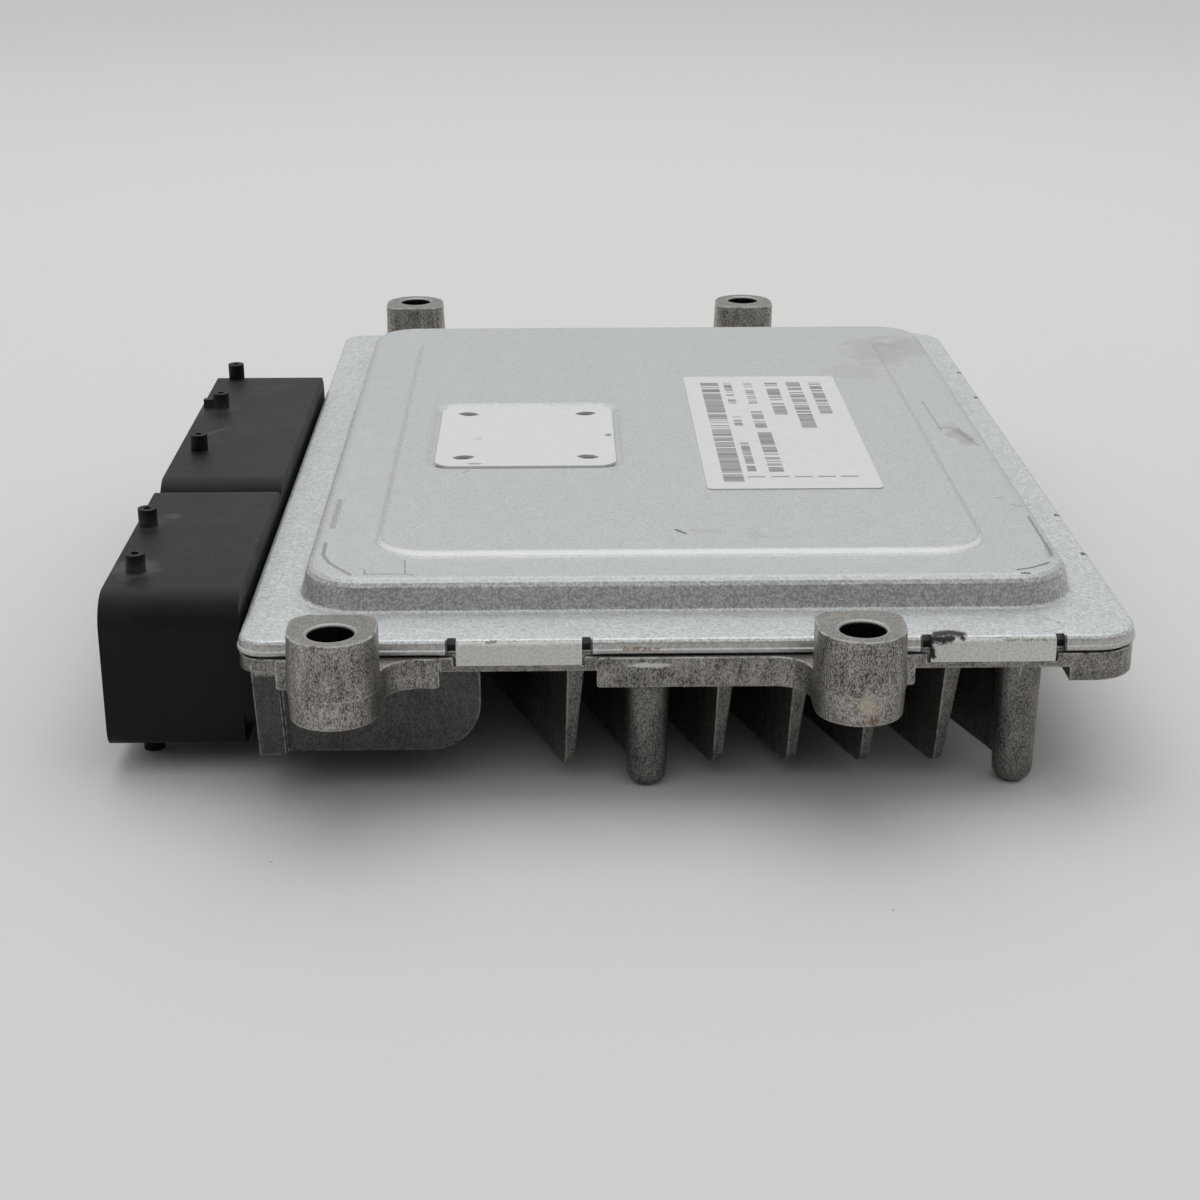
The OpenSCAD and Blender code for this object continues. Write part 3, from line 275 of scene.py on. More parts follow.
# lid: zinc-coated sheet
brown, grey, black = (0.33, 0.30, 0.26), (0.26, 0.25, 0.235), (0.014, 0.014, 0.015)
lidLook = {
    "dark": (0.31, 0.322, 0.327),
    "light": (0.80, 0.826, 0.835),
    "wall": (0.60, 0.565, 0.53),
    "wallShadeShare": 0.35,
    "roughness": (0.44, 0.52),
    "tabRoughness": 0.12,
    "fineNoise": (2.7, 4.0, 0.64),  # scale, detail, roughness
    "coarseNoise": (0.32, 5.0, 0.66),
    "spangle": 0.5,
    "spangleShare": 0.12,
    "cloudShare": 0.12,
    "levelRange": (0.45, 0.95),
    "plateauRise": (7.4, 10.5),
    "flangeEdge": (9.0, 7.4),
    "sideRange": (53.0, 57.0),
    "contrast": {"panel": 0.85, "flange": 1.6, "wall": 3.4},
    "panelLift": -0.065,
    "flangeLift": 0.12,
    "middle": 13.6,
    "sideDrop": 0.10,
    "highlightTint": (0.97, 0.97, 0.96),
    "highlightHeights": (11.9, 12.1),
    "highlightEnds": (58.0, 66.0),
    "highlightSides": 0.12,
    "lipTop": 6.85,
    "lipFade": 0.25,
    "lipShare": 0.5,
    "lip": (0.60, 0.57, 0.54),
    "tab": (0.86, 0.855, 0.83),
    "tabMottle": (0.36, 0.60, 0.45, 0.9),
    "tabMiddles": (22.9, 33.85),
    # boxes of distance from a tab's middle, distance from the lid's middle, height
    "frontTab": ((-1, 90.2, 3), (8.95, 95, 6.95)),
    "sideTab": ((77.9, 37, 3), (79, 55, 6.95)),
    "notch": ((8.95, 88.0, 3), (10.5, 95, 7.18)),
    "notchShade": (0.05, 0.045, 0.04),
    "notchShare": 0.85,
    "panShade": (0.10, 0.095, 0.09),
    "panShare": 0.8,
    "bump": (0.12, 0.00005),
    "panBoxes": [((-26.0, -24.1, 11.5), (4.6, 12.7, 12.2))],
    "stains": [
        ((60, 54, 12), (9, 16, 4), 10, 1.6, 0.30, brown),
        ((68, 60, 12), (9, 12, 4), -20, 1.6, 0.26, brown),
        ((53, 36, 12), (8, 9, 3), 0, 1.8, 0.16, brown),
        ((17.6, -59, 12), (4.5, 1.6, 2), 0, 1.8, 0.20, brown),
        ((25, -61, 12), (3.2, 2.6, 2), 20, 1.8, 0.20, brown),
        ((66.5, -5.5, 12), (2.6, 7.0, 3), -10, 2.4, 0.42, brown),
        ((69.4, -67, 11.5), (1.0, 5, 3), 3, 2.4, 0.45, grey),
    ],
    "strokes": [
        (3.2, 0.55, grey, [
            (0.75, [(-40.6, -40.0, 11.7), (-40.6, -54.0, 11.7)]),
            (0.70, [(66.2, -2.0, 11.85), (68.4, -8.0, 11.85)]),
        ]),
        (1.8, 0.60, grey, [
            (0.32, [(63.5, 17.2, 12.3), (63.7, 7.0, 12.3), (63.9, -2.2, 12.3)]),
            (0.45, [(63.5, -0.6, 11.85), (67.1, -0.7, 11.85), (67.4, -7.1, 11.85), (68.8, -11.4, 11.85)]),
            (0.22, [(65.4, -83.2, 7.2), (66.7, -84.4, 7.2), (67.6, -86.4, 7.2)]),
        ]),
        (1.9, 0.60, (0.15, 0.145, 0.125), [
            (0.22, [(62.0, -24.8, 12.6), (63.6, -22.6, 12.6)]),
            (0.20, [(66.2, -41.3, 11.9), (67.4, -40.8, 11.9)]),
            (0.26, [(68.0, -44.7, 11.6), (69.5, -45.8, 11.6)]),
            (0.42, [(69.5, -50.8, 11.6), (69.4, -66.0, 11.6), (69.2, -68.8, 11.6)]),
            (0.22, [(60.2, -65.2, 12.6), (62.4, -63.4, 12.6)]),
            (0.44, [(-40.9, -61.2, 11.7), (-40.8, -66.7, 11.7), (-39.5, -70.3, 11.7), (-36.0, -75.4, 11.7)]),
            (0.24, [(-34.0, -73.7, 11.8), (-33.8, -75.2, 11.8), (-27.9, -75.3, 11.8), (-26.8, -75.8, 11.8)]),
            (0.18, [(-27.9, -74.9, 11.8), (-28.3, -69.2, 11.8)]),
            (0.20, [(-34.1, -79, 10.3), (-31.6, -79, 11.1)]),
            (0.28, [(-15.6, -90.4, 7.1), (-14.2, -90.2, 7.1)]),
            (0.26, [(58.2, -90.5, 7.1), (65.4, -90.5, 7.1)]),
            (0.24, [(-39.9, 38.6, 12.4), (-38.9, 39.6, 12.4)]),
            (0.24, [(-21.1, -28.3, 12.4), (-20.1, -26.9, 12.4)]),
        ]),
        (1.2, 0.85, black, [
            (0.28, [(62.7, -75.4, 11.8), (65.1, -74.5, 11.8), (68.1, -72.4, 11.8)]),
            (0.30, [(63.2, -76.7, 11.8), (64.4, -76.7, 11.8)]),
            (0.36, [(13.0, -58.3, 12.6), (14.4, -60.2, 12.6)]),
        ]),
    ],
    "scuffAndShadow": [  # rubbed-on black over the second front tab, with a painted shadow line down the notch edge beside it, and soil on the bead
        (1.3, 0.97, black, [
            (0.90, [(47.7, -91.0, 6.9), (48.3, -89.9, 7.2), (48.8, -89.2, 7.2)]),
            (1.10, [(48.8, -89.2, 7.2), (50.7, -88.7, 7.2), (52.2, -89.3, 7.2)]),
            (0.62, [(52.2, -89.3, 7.2), (52.3, -90.6, 7.1)]),
            (1.00, [(48.2, -90.5, 7.1), (49.3, -90.7, 6.9), (50.6, -90.3, 7.15)]),
            # painted shadow down the edge of the notch
            (0.60, [(47.4, -90.8, 6.5), (47.9, -90.8, 5.4), (48.1, -90.8, 4.4)]),
        ]),
        (2.8, 0.75, (0.20, 0.13, 0.07), [
            (0.34, [(4.0, -90.8, 5.9), (9.0, -90.8, 5.9)]),
        ]),
    ],
}


def zincSheet():
    material, tree, shader = newFinish("zincSheet", Metallic=0.6)
    place = millimetres(tree)
    parts = addNode(tree, "SeparateXYZ", {0: place}).outputs
    height = parts["Z"]
    fine = noise(tree, place, *lidLook["fineNoise"])
    coarse = noise(tree, place, *lidLook["coarseNoise"])
    crystal = useGroup(tree, zincSpangle, Place=place, Size=lidLook["spangle"])["Tone"]
    low, high = lidLook["levelRange"]
    level = useGroup(tree, facingUp, Low=low, High=high)["Mask"]
    tilt = calc(tree, "SUBTRACT", 1.0, level)
    # the flange and the upright walls are rougher to the eye than the panel
    contrast = lidLook["contrast"]
    amount = remap(tree, height, *lidLook["plateauRise"], contrast["flange"], contrast["panel"])
    amount = calc(tree, "ADD", amount, calc(tree, "MULTIPLY", tilt, contrast["wall"]))
    grainTone = calc(tree, "MULTIPLY_ADD", calc(tree, "SUBTRACT", crystal, 0.5), lidLook["spangleShare"], fine)
    shade = calc(tree, "MULTIPLY_ADD", calc(tree, "SUBTRACT", grainTone, 0.5), amount, 0.5)
    lift = remap(tree, height, *lidLook["flangeEdge"], lidLook["panelLift"], lidLook["flangeLift"])
    fromCentre = calc(tree, "ABSOLUTE", calc(tree, "SUBTRACT", parts["X"], lidLook["middle"]))
    sides = calc(tree, "MULTIPLY", remap(tree, height, *lidLook["flangeEdge"]),
                 remap(tree, fromCentre, *lidLook["sideRange"]))
    shade = calc(tree, "ADD", shade, calc(tree, "MULTIPLY_ADD", sides, -lidLook["sideDrop"], lift))
    cloudy = calc(tree, "MULTIPLY_ADD", calc(tree, "SUBTRACT", coarse, 0.5), lidLook["cloudShare"], shade)
    cloudy = calc(tree, "ADD", cloudy, 0.0, clamp=True)
    colour = blendColours(tree, cloudy, (*lidLook["dark"], 1), (*lidLook["light"], 1))
    # painted shade: upright faces are mixed towards a darker, warmer tone
    upright = calc(tree, "MULTIPLY", tilt, lidLook["wallShadeShare"])
    colour = blendColours(tree, upright, colour, (*lidLook["wall"], 1))
    # painted highlight along the step round the panel, strongest at its front and back ends
    tilted = calc(tree, "MULTIPLY", calc(tree, "MULTIPLY", level, tilt), 4.0)
    away = calc(tree, "ABSOLUTE", parts["Y"])
    ends = remap(tree, away, *lidLook["highlightEnds"], lidLook["highlightSides"], 1.0)
    ends = calc(tree, "MULTIPLY", remap(tree, height, *lidLook["highlightHeights"]), ends)
    stepHighlight = calc(tree, "MULTIPLY", tilted, ends)
    colour = blendColours(tree, stepHighlight, colour, (*lidLook["highlightTint"], 1))
    # darker lip, paler tabs
    lip = remap(tree, height, lidLook["lipTop"], lidLook["lipTop"] - lidLook["lipFade"])
    lip = calc(tree, "MULTIPLY", lip, lidLook["lipShare"])
    colour = blendColours(tree, lip, colour, (*lidLook["lip"], 1))
    fromMiddle = calc(tree, "ABSOLUTE", calc(tree, "SUBTRACT", parts["X"], lidLook["tabMiddles"][0]))
    fromTab = calc(tree, "ABSOLUTE", calc(tree, "SUBTRACT", fromMiddle, lidLook["tabMiddles"][1]))
    byTab = addNode(tree, "CombineXYZ", {"X": fromTab, "Y": away, "Z": height}).outputs[0]
    bySide = addNode(tree, "CombineXYZ", {"X": parts["X"], "Y": away, "Z": height}).outputs[0]
    tabs = [useGroup(tree, block, Place=spot, Low=lidLook[name][0], High=lidLook[name][1])["Mask"]
            for spot, name in ((byTab, "frontTab"), (bySide, "sideTab"))]
    tabs = strongest(tree, tabs)
    mottled = calc(tree, "MULTIPLY", tabs, remap(tree, fine, *lidLook["tabMottle"]))
    colour = blendColours(tree, mottled, colour, (*lidLook["tab"], 1))
    # painted shadow in the notch beside each front tab
    notch = useGroup(tree, block, Place=byTab, Low=lidLook["notch"][0], High=lidLook["notch"][1])["Mask"]
    notch = calc(tree, "MULTIPLY", notch, lidLook["notchShare"])
    colour = blendColours(tree, notch, colour, (*lidLook["notchShade"], 1))
    # painted shade on the vent pan floor under the slots
    pans = strongest(tree, [useGroup(tree, block, Place=place, Low=low, High=high)["Mask"]
                            for low, high in lidLook["panBoxes"]])
    pans = calc(tree, "MULTIPLY", pans, lidLook["panShare"])
    colour = blendColours(tree, pans, colour, (*lidLook["panShade"], 1))
    colour = addMarks(tree, place, coarse, lidLook["stains"], colour)
    colour = addStrokes(tree, place, fine, lidLook["strokes"], (1.0, 1.0, 0.3), colour)
    colour = addStrokes(tree, place, fine, lidLook["scuffAndShadow"], (1.0, 0.7, 1.0), colour)
    plug(tree, colour, shader.inputs["Base Color"])
    rough = remap(tree, coarse, 0.3, 0.7, *lidLook["roughness"])
    plug(tree, calc(tree, "MULTIPLY_ADD", tabs, lidLook["tabRoughness"], rough), shader.inputs["Roughness"])
    plug(tree, bumpFrom(tree, grainTone, *lidLook["bump"]), shader.inputs["Normal"])
    return material


dress("lid_cover", zincSheet())
print("lid finished")

# base: die-cast alloy
castLook = {
    "dark": (0.045, 0.040, 0.036),
    "light": (0.56, 0.53, 0.49),
    "topFace": (0.19, 0.185, 0.175),
    "topShare": 0.55,
    "worn": (0.86, 0.84, 0.80),
    "turned": (0.42, 0.415, 0.405),
    "boreShade": (0.05, 0.05, 0.05),
    "deep": (0.052, 0.050, 0.052),
    "trayEnd": -10.5,
    "trayShadeShares": (0.42, 0.86),
    "recessShare": 0.2,
    "patches": (0.8, 4.0, 0.65),
    "wearShare": 0.95,
    "deepWear": -0.35,
    "roughness": (0.50, 0.30),
    "turnedRoughness": -0.12,
    "bump": (0.5, 0.00014),
    "fleck": 0.22,
    "edge": 0.0005,
    "holeAt": (36.5, 100.0),
    "holeRim": 3.6,
    "bossTop": 12.4,
    "rimLevel": 2.4,
    "endFace": 91.3,
    "marks": [
        ((36.9, -105.4, 2.9), (1.5, 1.5, 2.3), 0, 2.2, 0.55, (0.55, 0.47, 0.36)),
        ((37.6, -105.4, 0.7), (1.6, 1.5, 0.9), 0, 2.2, 0.55, (0.22, 0.12, 0.065)),
        ((7.6, -91.65, 3.75), (3.9, 1.2, 0.5), 0, 1.5, 0.85, (0.74, 0.73, 0.70)),
        ((6.4, -86, -15.6), (0.4, 4.0, 1.0), 0, 1.0, 0.9, (0.02, 0.02, 0.02)),
    ],
}


def dieCast():
    material, tree, shader = newFinish("dieCastAlloy", Metallic=0.9)
    place = millimetres(tree)
    parts = addNode(tree, "SeparateXYZ", {0: place}).outputs
    away = calc(tree, "ABSOLUTE", parts["Y"])
    grain = useGroup(tree, castGrain, Place=place, Size=castLook["fleck"])
    patchy = noise(tree, place, *castLook["patches"])
    wear = useGroup(tree, edgeWear, Radius=castLook["edge"], Rough=patchy)
    colour = blendColours(tree, grain["Tone"], (*castLook["dark"], 1), (*castLook["light"], 1))
    top = calc(tree, "GREATER_THAN", parts["Z"], castLook["bossTop"] - 0.05)
    top = calc(tree, "MULTIPLY", top, castLook["topShare"])
    colour = blendColours(tree, top, colour, (*castLook["topFace"], 1))
    # painted shade, darkest in the deep places under the rim, lighter on all that lies inside the end faces
    low = remap(tree, parts["Z"], castLook["rimLevel"], castLook["rimLevel"] - 0.8)
    inner = remap(tree, away, castLook["endFace"] + 0.4, castLook["endFace"])
    deep = calc(tree, "MULTIPLY", low, inner)
    tray = remap(tree, parts["X"], castLook["trayEnd"] + 1, castLook["trayEnd"], *castLook["trayShadeShares"])
    mouth = (castLook["endFace"] + 2.5, castLook["endFace"] + 1.0)
    recess = remap(tree, away, *mouth, 0.0, castLook["recessShare"])
    paintedShade = calc(tree, "MAXIMUM", calc(tree, "MULTIPLY", deep, tray), recess)
    colour = blendColours(tree, paintedShade, colour, (*castLook["deep"], 1))
    rubbed = calc(tree, "MULTIPLY_ADD", deep, castLook["deepWear"], castLook["wearShare"])
    rubbed = calc(tree, "MULTIPLY", wear["Mask"], rubbed)
    colour = blendColours(tree, rubbed, colour, (*castLook["worn"], 1))
    colour = addMarks(tree, place, patchy, castLook["marks"], colour)
    # the bores: painted shade inside, with a turned ring at the mouth
    across = calc(tree, "SUBTRACT", calc(tree, "ABSOLUTE", parts["X"]), castLook["holeAt"][0])
    along = calc(tree, "SUBTRACT", away, castLook["holeAt"][1])
    radius = calc(tree, "SQRT", calc(tree, "ADD", calc(tree, "MULTIPLY", across, across),
                                     calc(tree, "MULTIPLY", along, along)))
    turned = calc(tree, "LESS_THAN", radius, castLook["holeRim"])
    inside = remap(tree, parts["Z"], castLook["bossTop"] - 0.2, castLook["bossTop"] - 0.5)
    inside = calc(tree, "MULTIPLY", turned, inside)
    colour = blendColours(tree, turned, colour, (*castLook["turned"], 1))
    colour = blendColours(tree, inside, colour, (*castLook["boreShade"], 1))
    plug(tree, colour, shader.inputs["Base Color"])
    rough = remap(tree, grain["Tone"], 0.2, 0.8, *castLook["roughness"])
    rough = calc(tree, "MULTIPLY_ADD", turned, castLook["turnedRoughness"], rough)
    plug(tree, rough, shader.inputs["Roughness"])
    plug(tree, bumpFrom(tree, grain["Height"], *castLook["bump"], wear["Normal"]), shader.inputs["Normal"])
    return material


dress("base_housing", dieCast())
print("base finished")

# header: black moulded plastic
soil = (0.15, 0.135, 0.115)
headerLook = {
    "dark": (0.0055, 0.0056, 0.0072),
    "light": (0.010, 0.0102, 0.0142),
    "dust": (0.17, 0.165, 0.155),
    "dustRange": (0.42, 0.72),
    "dustShare": 0.055,
    "speckRange": (0.66, 0.76),
    "speckShare": 0.16,
    "fineNoise": (2.6, 3.0, 0.6),
    "cloudNoise": (0.1, 5.0, 0.66),
    "roughness": (0.46, 0.58),
    "specular": 0.20,
    "soil": [((-68.5, -69.6, 10.6), (4.5, 4.8, 3), 0, 2.0, 0.40, soil),
             ((-70.3, -48.2, 10.6), (4.0, 4.0, 3), 0, 2.0, 0.22, soil),
             ((-68.5, 20.5, 10.6), (4.5, 5.0, 3), 0, 2.2, 0.25, soil),
             ((-67.6, 3.6, 10.6), (0.9, 5.2, 3), 36, 1.2, 0.30, (0.10, 0.10, 0.105)),
             ((-66.9, -44.0, 10.6), (1.5, 1.8, 3), 0, 2.2, 0.35, (0.13, 0.125, 0.115))],
    "ejectorPins": [(-54.6, -56.3), (-55.4, -16.2), (-66.8, -19.5), (-60.5, -64.0), (-55.2, 18.0)],
    "pinRadius": 2.6,
    "ringWidth": 0.3,
    "ringPatches": (0.36, 0.60),
    "ringShare": 0.10,
    "bump": (0.4, 0.00012),
}


def blackPlastic():
    material, tree, shader = newFinish("blackPlastic", Metallic=0.0)
    shader.inputs["Specular IOR Level"].default_value = headerLook["specular"]
    place = millimetres(tree)
    fine = noise(tree, place, *headerLook["fineNoise"])
    clouds = noise(tree, place, *headerLook["cloudNoise"])
    cloudTone = remap(tree, clouds, 0.3, 0.7)
    level = useGroup(tree, facingUp, Low=0.2, High=0.9)["Mask"]
    dust = calc(tree, "MULTIPLY", level, remap(tree, clouds, *headerLook["dustRange"]))
    dust = calc(tree, "MULTIPLY", dust, headerLook["dustShare"])
    colour = blendColours(tree, cloudTone, (*headerLook["dark"], 1), (*headerLook["light"], 1))
    colour = blendColours(tree, dust, colour, (*headerLook["dust"], 1))
    specks = calc(tree, "MULTIPLY", remap(tree, fine, *headerLook["speckRange"]), headerLook["speckShare"])
    colour = blendColours(tree, specks, colour, (*headerLook["dust"], 1))
    colour = addMarks(tree, place, clouds, headerLook["soil"], colour)
    plug(tree, remap(tree, clouds, 0.3, 0.7, *headerLook["roughness"]), shader.inputs["Roughness"])
    rings = []
    for x, y in headerLook["ejectorPins"]:  # faint circles that the ejector pins leave
        flat = vectorCalc(tree, "MULTIPLY", vectorCalc(tree, "SUBTRACT", place, (x, y, 0)), (1, 1, 0))
        off = calc(tree, "SUBTRACT", vectorCalc(tree, "LENGTH", flat), headerLook["pinRadius"])
        rings.append(remap(tree, calc(tree, "ABSOLUTE", off), headerLook["ringWidth"], 0.0))
    rings = calc(tree, "MULTIPLY", strongest(tree, rings), remap(tree, clouds, *headerLook["ringPatches"]))
    height = calc(tree, "MULTIPLY_ADD", fine, 0.3, rings)
    shine = calc(tree, "MULTIPLY", rings, headerLook["ringShare"])
    colour = blendColours(tree, shine, colour, (*headerLook["dust"], 1))
    plug(tree, colour, shader.inputs["Base Color"])
    plug(tree, bumpFrom(tree, height, *headerLook["bump"]), shader.inputs["Normal"])
    return material


dress("connector_header", blackPlastic())
print("header finished")

# vent pad: white membrane
padLook = {
    "white": (0.745, 0.745, 0.73),
    "shade": (0.725, 0.725, 0.71),
    "roughness": 0.6,
    "fibre": (4.0, 3.0, 0.6),
    "clouds": (0.5, 4.0, 0.6),
    "bump": (0.15, 0.00005),
    "marks": [((3.8, -6.1, 12), (1.0, 1.3, 2), 0, 1.4, 0.8, (0.12, 0.12, 0.115)),
              ((-19.4, -8.0, 12), (1.1, 1.8, 2), 20, 1.6, 0.25, (0.3, 0.3, 0.29)),
              ((-19.4, -22.9, 12), (1.6, 0.7, 2), 0, 1.3, 0.7, (0.2, 0.19, 0.17))],
}


def whiteMembrane():
    material, tree, shader = newFinish("whiteMembrane", Roughness=padLook["roughness"])
    place = millimetres(tree)
    fibre = noise(tree, place, *padLook["fibre"])
    clouds = noise(tree, place, *padLook["clouds"])
    cloudTone = remap(tree, clouds, 0.35, 0.65)
    colour = blendColours(tree, cloudTone, (*padLook["shade"], 1), (*padLook["white"], 1))
    plug(tree, addMarks(tree, place, clouds, padLook["marks"], colour), shader.inputs["Base Color"])
    plug(tree, bumpFrom(tree, fibre, *padLook["bump"]), shader.inputs["Normal"])
    return material


dress("vent_membrane", whiteMembrane())
print("vent pad finished")

# label: white film with plain printed bars in place of words
labelLook = {
    "film": (0.735, 0.735, 0.72),
    "shade": (0.71, 0.71, 0.695),
    "ink": (0.10, 0.105, 0.115),
    "roughness": 0.42,
    # x from, x to, y from, y to, length of one cell, share of cells that print
    "runs": [
        (22.3, 25.7, 13.0, 27.8, 0.75, 0.90),
        (22.3, 25.7, -37.0, 13.0, 0.62, 0.74),
        (26.7, 28.2, 12.0, 28.0, 0.42, 0.62),
        (26.7, 28.2, -1.7, 4.4, 0.55, 0.80),
        (26.7, 28.2, -29.0, -11.6, 0.55, 0.78),
        (30.5, 32.1, 13.0, 27.6, 0.5, 0.66),
        (30.3, 32.4, -3.2, 9.0, 0.6, 0.78),
        (30.3, 32.8, -29.4, -5.7, 0.7, 0.78),
        (34.6, 37.0, 5.4, 28.1, 0.6, 0.80),
        (38.7, 41.4, -3.6, 28.1, 0.65, 0.78),
        (43.0, 45.3, 5.8, 28.0, 0.6, 0.74),
    ],
    "dashes": [(26.4, 29.4), (30.4, 33.4), (34.3, 37.2), (38.1, 41.1), (41.9, 44.9)],
    "dashRow": (-32.35, -31.75),
    "dashInk": 0.9,
    "inkShare": 0.85,
    "gridBreadth": 90.0,
    "aboveLabel": 30,
    "seedStep": 3.7,
    "bump": (0.06, 0.00004),
}


def printedLabel():
    material, tree, shader = newFinish("printedFilm", Roughness=labelLook["roughness"])
    place = millimetres(tree)
    masks = []
    above, breadth = labelLook["aboveLabel"], labelLook["gridBreadth"]
    for index, (x0, x1, y0, y1, long, share) in enumerate(labelLook["runs"]):
        run = useGroup(tree, printRun, Place=place, Low=(x0, y0, 0), High=(x1, y1, above),
                       Cell=(breadth, long, breadth), Share=share, Seed=labelLook["seedStep"] * index)
        masks.append(run["Mask"])
    y0, y1 = labelLook["dashRow"]
    for x0, x1 in labelLook["dashes"]:
        dash = useGroup(tree, block, Place=place, Low=(x0, y0, 0), High=(x1, y1, above))["Mask"]
        masks.append(calc(tree, "MULTIPLY", dash, labelLook["dashInk"]))
    cloudTone = remap(tree, noise(tree, place, 0.4, 3.0, 0.5), 0.35, 0.65)
    film = blendColours(tree, cloudTone, (*labelLook["shade"], 1), (*labelLook["film"], 1))
    inked = calc(tree, "MULTIPLY", strongest(tree, masks), labelLook["inkShare"])
    plug(tree, blendColours(tree, inked, film, (*labelLook["ink"], 1)), shader.inputs["Base Color"])
    plug(tree, bumpFrom(tree, noise(tree, place, 3.0, 2.0), *labelLook["bump"]), shader.inputs["Normal"])
    return material


dress("product_label", printedLabel())
print("label finished")


# inner pieces: seals, pins, screws and the loaded board
def plainFinish(name, dark, light, roughness, metallic, grain, bump):
    material, tree, shader = newFinish(name, Metallic=metallic)
    place = millimetres(tree)
    fine = noise(tree, place, grain, 4.0, 0.6)
    colour = blendColours(tree, remap(tree, fine, 0.3, 0.7), (*dark, 1), (*light, 1))
    spread = 0.06
    plug(tree, colour, shader.inputs["Base Color"])
    plug(tree, remap(tree, fine, 0.3, 0.7, roughness - spread, roughness + spread), shader.inputs["Roughness"])
    plug(tree, bumpFrom(tree, fine, bump, 0.0001), shader.inputs["Normal"])
    return material


# name: (dark, light, roughness, metallic, grain scale, bump), nodes
plainFinishes = {
    "sealRubber": (((0.018, 0.018, 0.018), (0.03, 0.03, 0.03), 0.62, 0.0, 2.2, 0.3),
                   ["lid_seal", "header_seal"]),
    "tinnedSteel": (((0.52, 0.51, 0.48), (0.66, 0.65, 0.62), 0.32, 1.0, 1.6, 0.12),
                    ["header_screws", "board_screws", "front_bay_power_pins", "rear_bay_power_pins"]),
    "goldPlate": (((0.72, 0.54, 0.22), (0.86, 0.68, 0.32), 0.26, 1.0, 1.8, 0.08),
                  ["front_bay_signal_pins", "rear_bay_signal_pins"]),
    "thermalGum": (((0.46, 0.36, 0.42), (0.56, 0.46, 0.51), 0.7, 0.0, 1.2, 0.4), ["thermal_pads"]),
    "canMetal": (((0.56, 0.56, 0.57), (0.72, 0.72, 0.73), 0.28, 1.0, 0.9, 0.08),
                 ["quartz_crystal", "electrolytic_capacitors"]),
    "ferriteCore": (((0.04, 0.04, 0.042), (0.07, 0.07, 0.072), 0.55, 0.0, 2.0, 0.3), ["power_inductor"]),
    "ceramicBody": (((0.40, 0.29, 0.18), (0.50, 0.38, 0.26), 0.45, 0.0, 3.0, 0.12), ["ceramic_capacitors"]),
    "sensorPlastic": (((0.36, 0.36, 0.34), (0.43, 0.43, 0.41), 0.5, 0.0, 2.0, 0.2), ["pressure_sensor"]),
    "mouldedEpoxy": (((0.014, 0.014, 0.014), (0.028, 0.028, 0.029), 0.5, 0.0, 3.5, 0.25),
                     ["microcontroller", "flash_memory", "driver_chips", "ignition_transistors",
                      "voltage_regulator", "bus_transceivers", "suppressor_diodes", "shunt_resistors"]),
}
for name, (values, members) in plainFinishes.items():
    finish = plainFinish(name, *values)
    for nodeName in members:
        dress(nodeName, finish)


boardLook = {
    "gap": (0.012, 0.105, 0.045),
    "track": (0.022, 0.165, 0.07),
    "mottle": (0.03, 0.12, 0.06),
    "mottleShare": 0.2,
    "cellScale": 0.35,
    "cellSpread": 0.85,
    "pitch": 0.07,
    "trackRange": (0.03, 0.045),
    "roughness": (0.24, 0.34),
    "bump": (0.3, 0.00005),
}


def boardLaminate():  # green mask, lighter over copper tracks
    material, tree, shader = newFinish("boardLaminate", Metallic=0.0)
    place = millimetres(tree)
    inputs = {"Vector": place, "Scale": boardLook["cellScale"], "Randomness": boardLook["cellSpread"]}
    cells = addNode(tree, "TexVoronoi", inputs, feature="F1", distance="MANHATTAN").outputs["Distance"]
    tracks = remap(tree, calc(tree, "PINGPONG", cells, boardLook["pitch"]), *boardLook["trackRange"])
    mottle = noise(tree, place, 1.4, 3.0, 0.5)
    colour = blendColours(tree, tracks, (*boardLook["gap"], 1), (*boardLook["track"], 1))
    mottled = calc(tree, "MULTIPLY", mottle, boardLook["mottleShare"])
    colour = blendColours(tree, mottled, colour, (*boardLook["mottle"], 1))
    plug(tree, colour, shader.inputs["Base Color"])
    plug(tree, remap(tree, mottle, 0.3, 0.7, *boardLook["roughness"]), shader.inputs["Roughness"])
    plug(tree, bumpFrom(tree, tracks, *boardLook["bump"]), shader.inputs["Normal"])
    return material


dress("circuit_board", boardLaminate())
print("inner pieces finished")

# floor, light and camera
stageLook = {
    "floorZ": -0.017,
    "floorSize": 6.0,
    "floor": (0.74, 0.74, 0.73),
    "farShade": (0.63, 0.63, 0.62),
    "farRange": (250.0, 1100.0),
    "speck": (0.30, 0.30, 0.29),
    "speckScale": 0.045,
    "speckRadius": (0.016, 0.006),
    "speckShare": 0.5,
    "speckChance": 0.55,
    "roughness": 0.6,
    "specular": 0.2,
    "sky": 0.70,
    "frontLow": 0.17,
    "frontRange": (0.5, -0.45),
    "lowRange": (0.66, 0.42),
    "lampHeight": 1.5,
    "lampBack": 0.6,
    "lampSize": 1.6,
    "lampPower": 9.0,
}


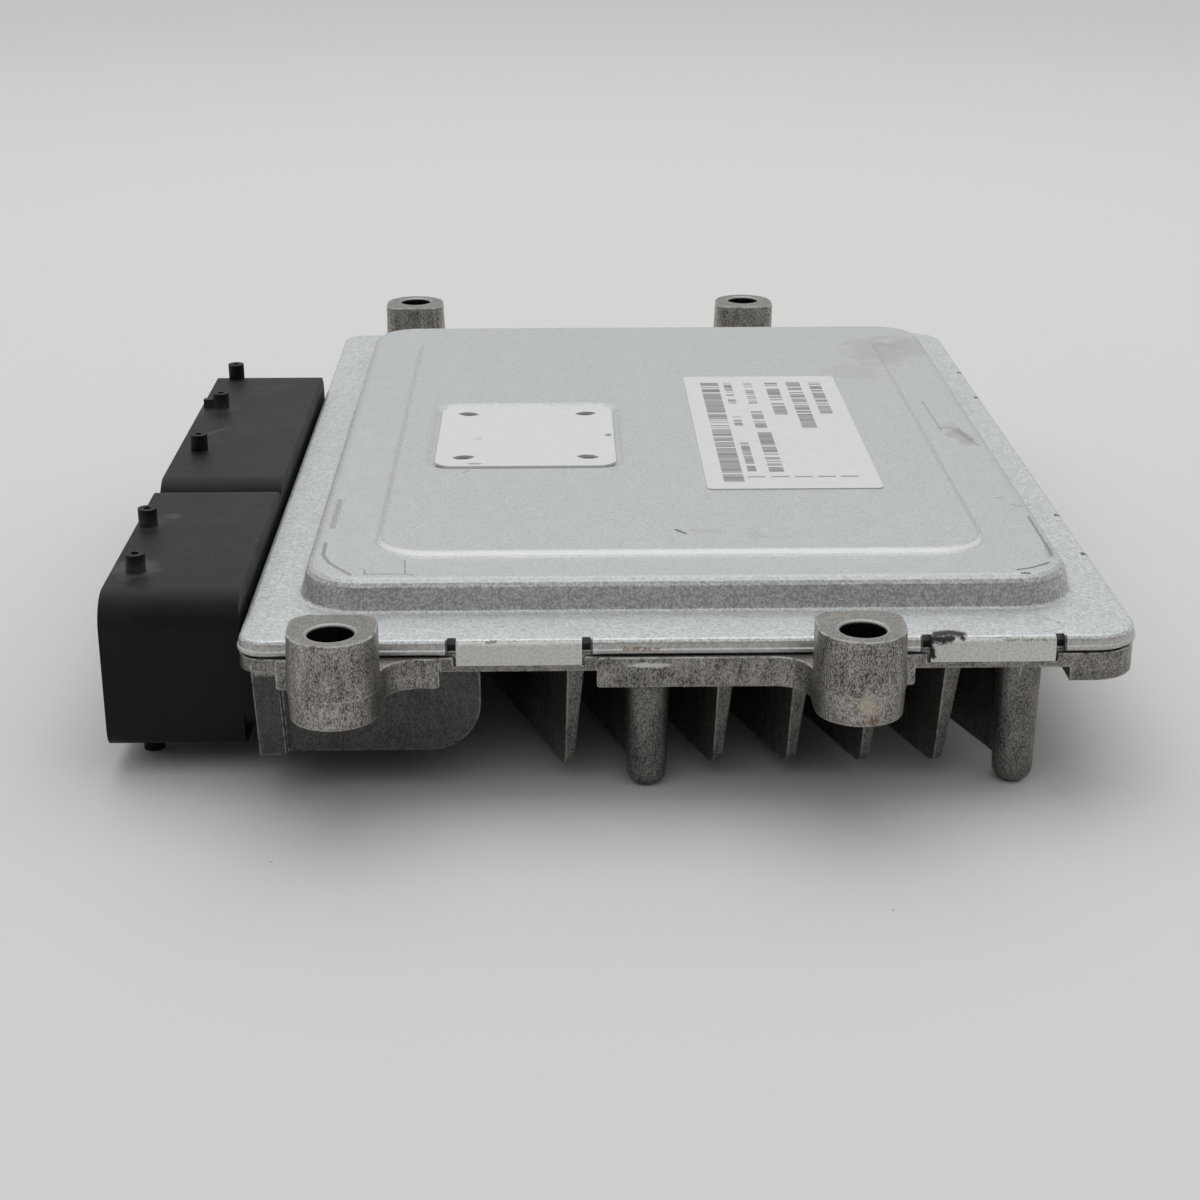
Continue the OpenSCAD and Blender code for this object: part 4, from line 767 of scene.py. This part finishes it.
def paleFloor():
    half = stageLook["floorSize"] / 2
    mesh = bpy.data.meshes.new("paleFloor")
    z = stageLook["floorZ"]
    corners = [(-half, -half, z), (half, -half, z), (half, half, z), (-half, half, z)]
    mesh.from_pydata(corners, [], [(0, 1, 2, 3)])
    floor = bpy.data.objects.new("paleFloor", mesh)
    bpy.context.scene.collection.objects.link(floor)
    material, tree, shader = newFinish("palePaper", Roughness=stageLook["roughness"])
    shader.inputs["Specular IOR Level"].default_value = stageLook["specular"]
    place = millimetres(tree)
    inputs = {"Vector": place, "Scale": stageLook["speckScale"], "Randomness": 1.0}
    dots = addNode(tree, "TexVoronoi", inputs)
    pick = addNode(tree, "SeparateXYZ", {0: dots.outputs["Color"]}).outputs[0]
    speck = calc(tree, "MULTIPLY", remap(tree, dots.outputs["Distance"], *stageLook["speckRadius"]),
                 calc(tree, "GREATER_THAN", pick, stageLook["speckChance"]))
    speck = calc(tree, "MULTIPLY", speck, stageLook["speckShare"])
    # painted shade: the floor dims from its pale colour near the object to a duller one far out
    outward = remap(tree, vectorCalc(tree, "LENGTH", place), *stageLook["farRange"])
    paper = blendColours(tree, outward, (*stageLook["floor"], 1), (*stageLook["farShade"], 1))
    colour = blendColours(tree, speck, paper, (*stageLook["speck"], 1))
    plug(tree, colour, shader.inputs["Base Color"])
    mesh.materials.append(material)


def studioLight():  # a bright room with a dim wall low in front, and one soft lamp above and behind
    world = bpy.data.worlds.new("studioAir")
    bpy.context.scene.world = world
    world.use_nodes = True
    tree = world.node_tree
    direction = addNode(tree, "SeparateXYZ", {0: addNode(tree, "TexCoord").outputs["Generated"]}).outputs
    front = remap(tree, direction["Y"], *stageLook["frontRange"])
    low = remap(tree, direction["Z"], *stageLook["lowRange"])
    level = calc(tree, "MULTIPLY_ADD", calc(tree, "MULTIPLY", front, low),
                 stageLook["frontLow"] - stageLook["sky"], stageLook["sky"])
    plug(tree, level, tree.nodes["Background"].inputs["Strength"])
    tree.nodes["Background"].inputs["Color"].default_value = (1.0, 1.0, 1.0, 1.0)
    lamp = bpy.data.lights.new("softBox", "AREA")
    lamp.size = stageLook["lampSize"]
    lamp.energy = stageLook["lampPower"]
    holder = bpy.data.objects.new("softBox", lamp)
    holder.location = (0, stageLook["lampBack"], stageLook["lampHeight"])
    holder.rotation_euler = (-math.atan2(stageLook["lampBack"], stageLook["lampHeight"]), 0, 0)
    bpy.context.scene.collection.objects.link(holder)


cameraLook = {
    "place": (-0.005471, -0.375185, 0.121611),
    "pitch": 20.825,
    "yaw": 1.214,
    "imagePixels": 1200,
    "focalPixels": 2162.2,
    "sensorWidth": 36.0,
    "nearest": 0.01,
}


def setCamera():
    camera = bpy.data.cameras.new("camera")
    camera.sensor_width = cameraLook["sensorWidth"]
    camera.lens = camera.sensor_width * cameraLook["focalPixels"] / cameraLook["imagePixels"]
    camera.clip_start = cameraLook["nearest"]
    holder = bpy.data.objects.new("camera", camera)
    holder.location = cameraLook["place"]
    angles = (math.radians(90 - cameraLook["pitch"]), 0, math.radians(-cameraLook["yaw"]))
    holder.rotation_euler = Euler(angles)
    bpy.context.scene.collection.objects.link(holder)
    bpy.context.scene.camera = holder


paleFloor()
studioLight()
setCamera()
bpy.context.scene.view_settings.view_transform = "Standard"
print("stage set")
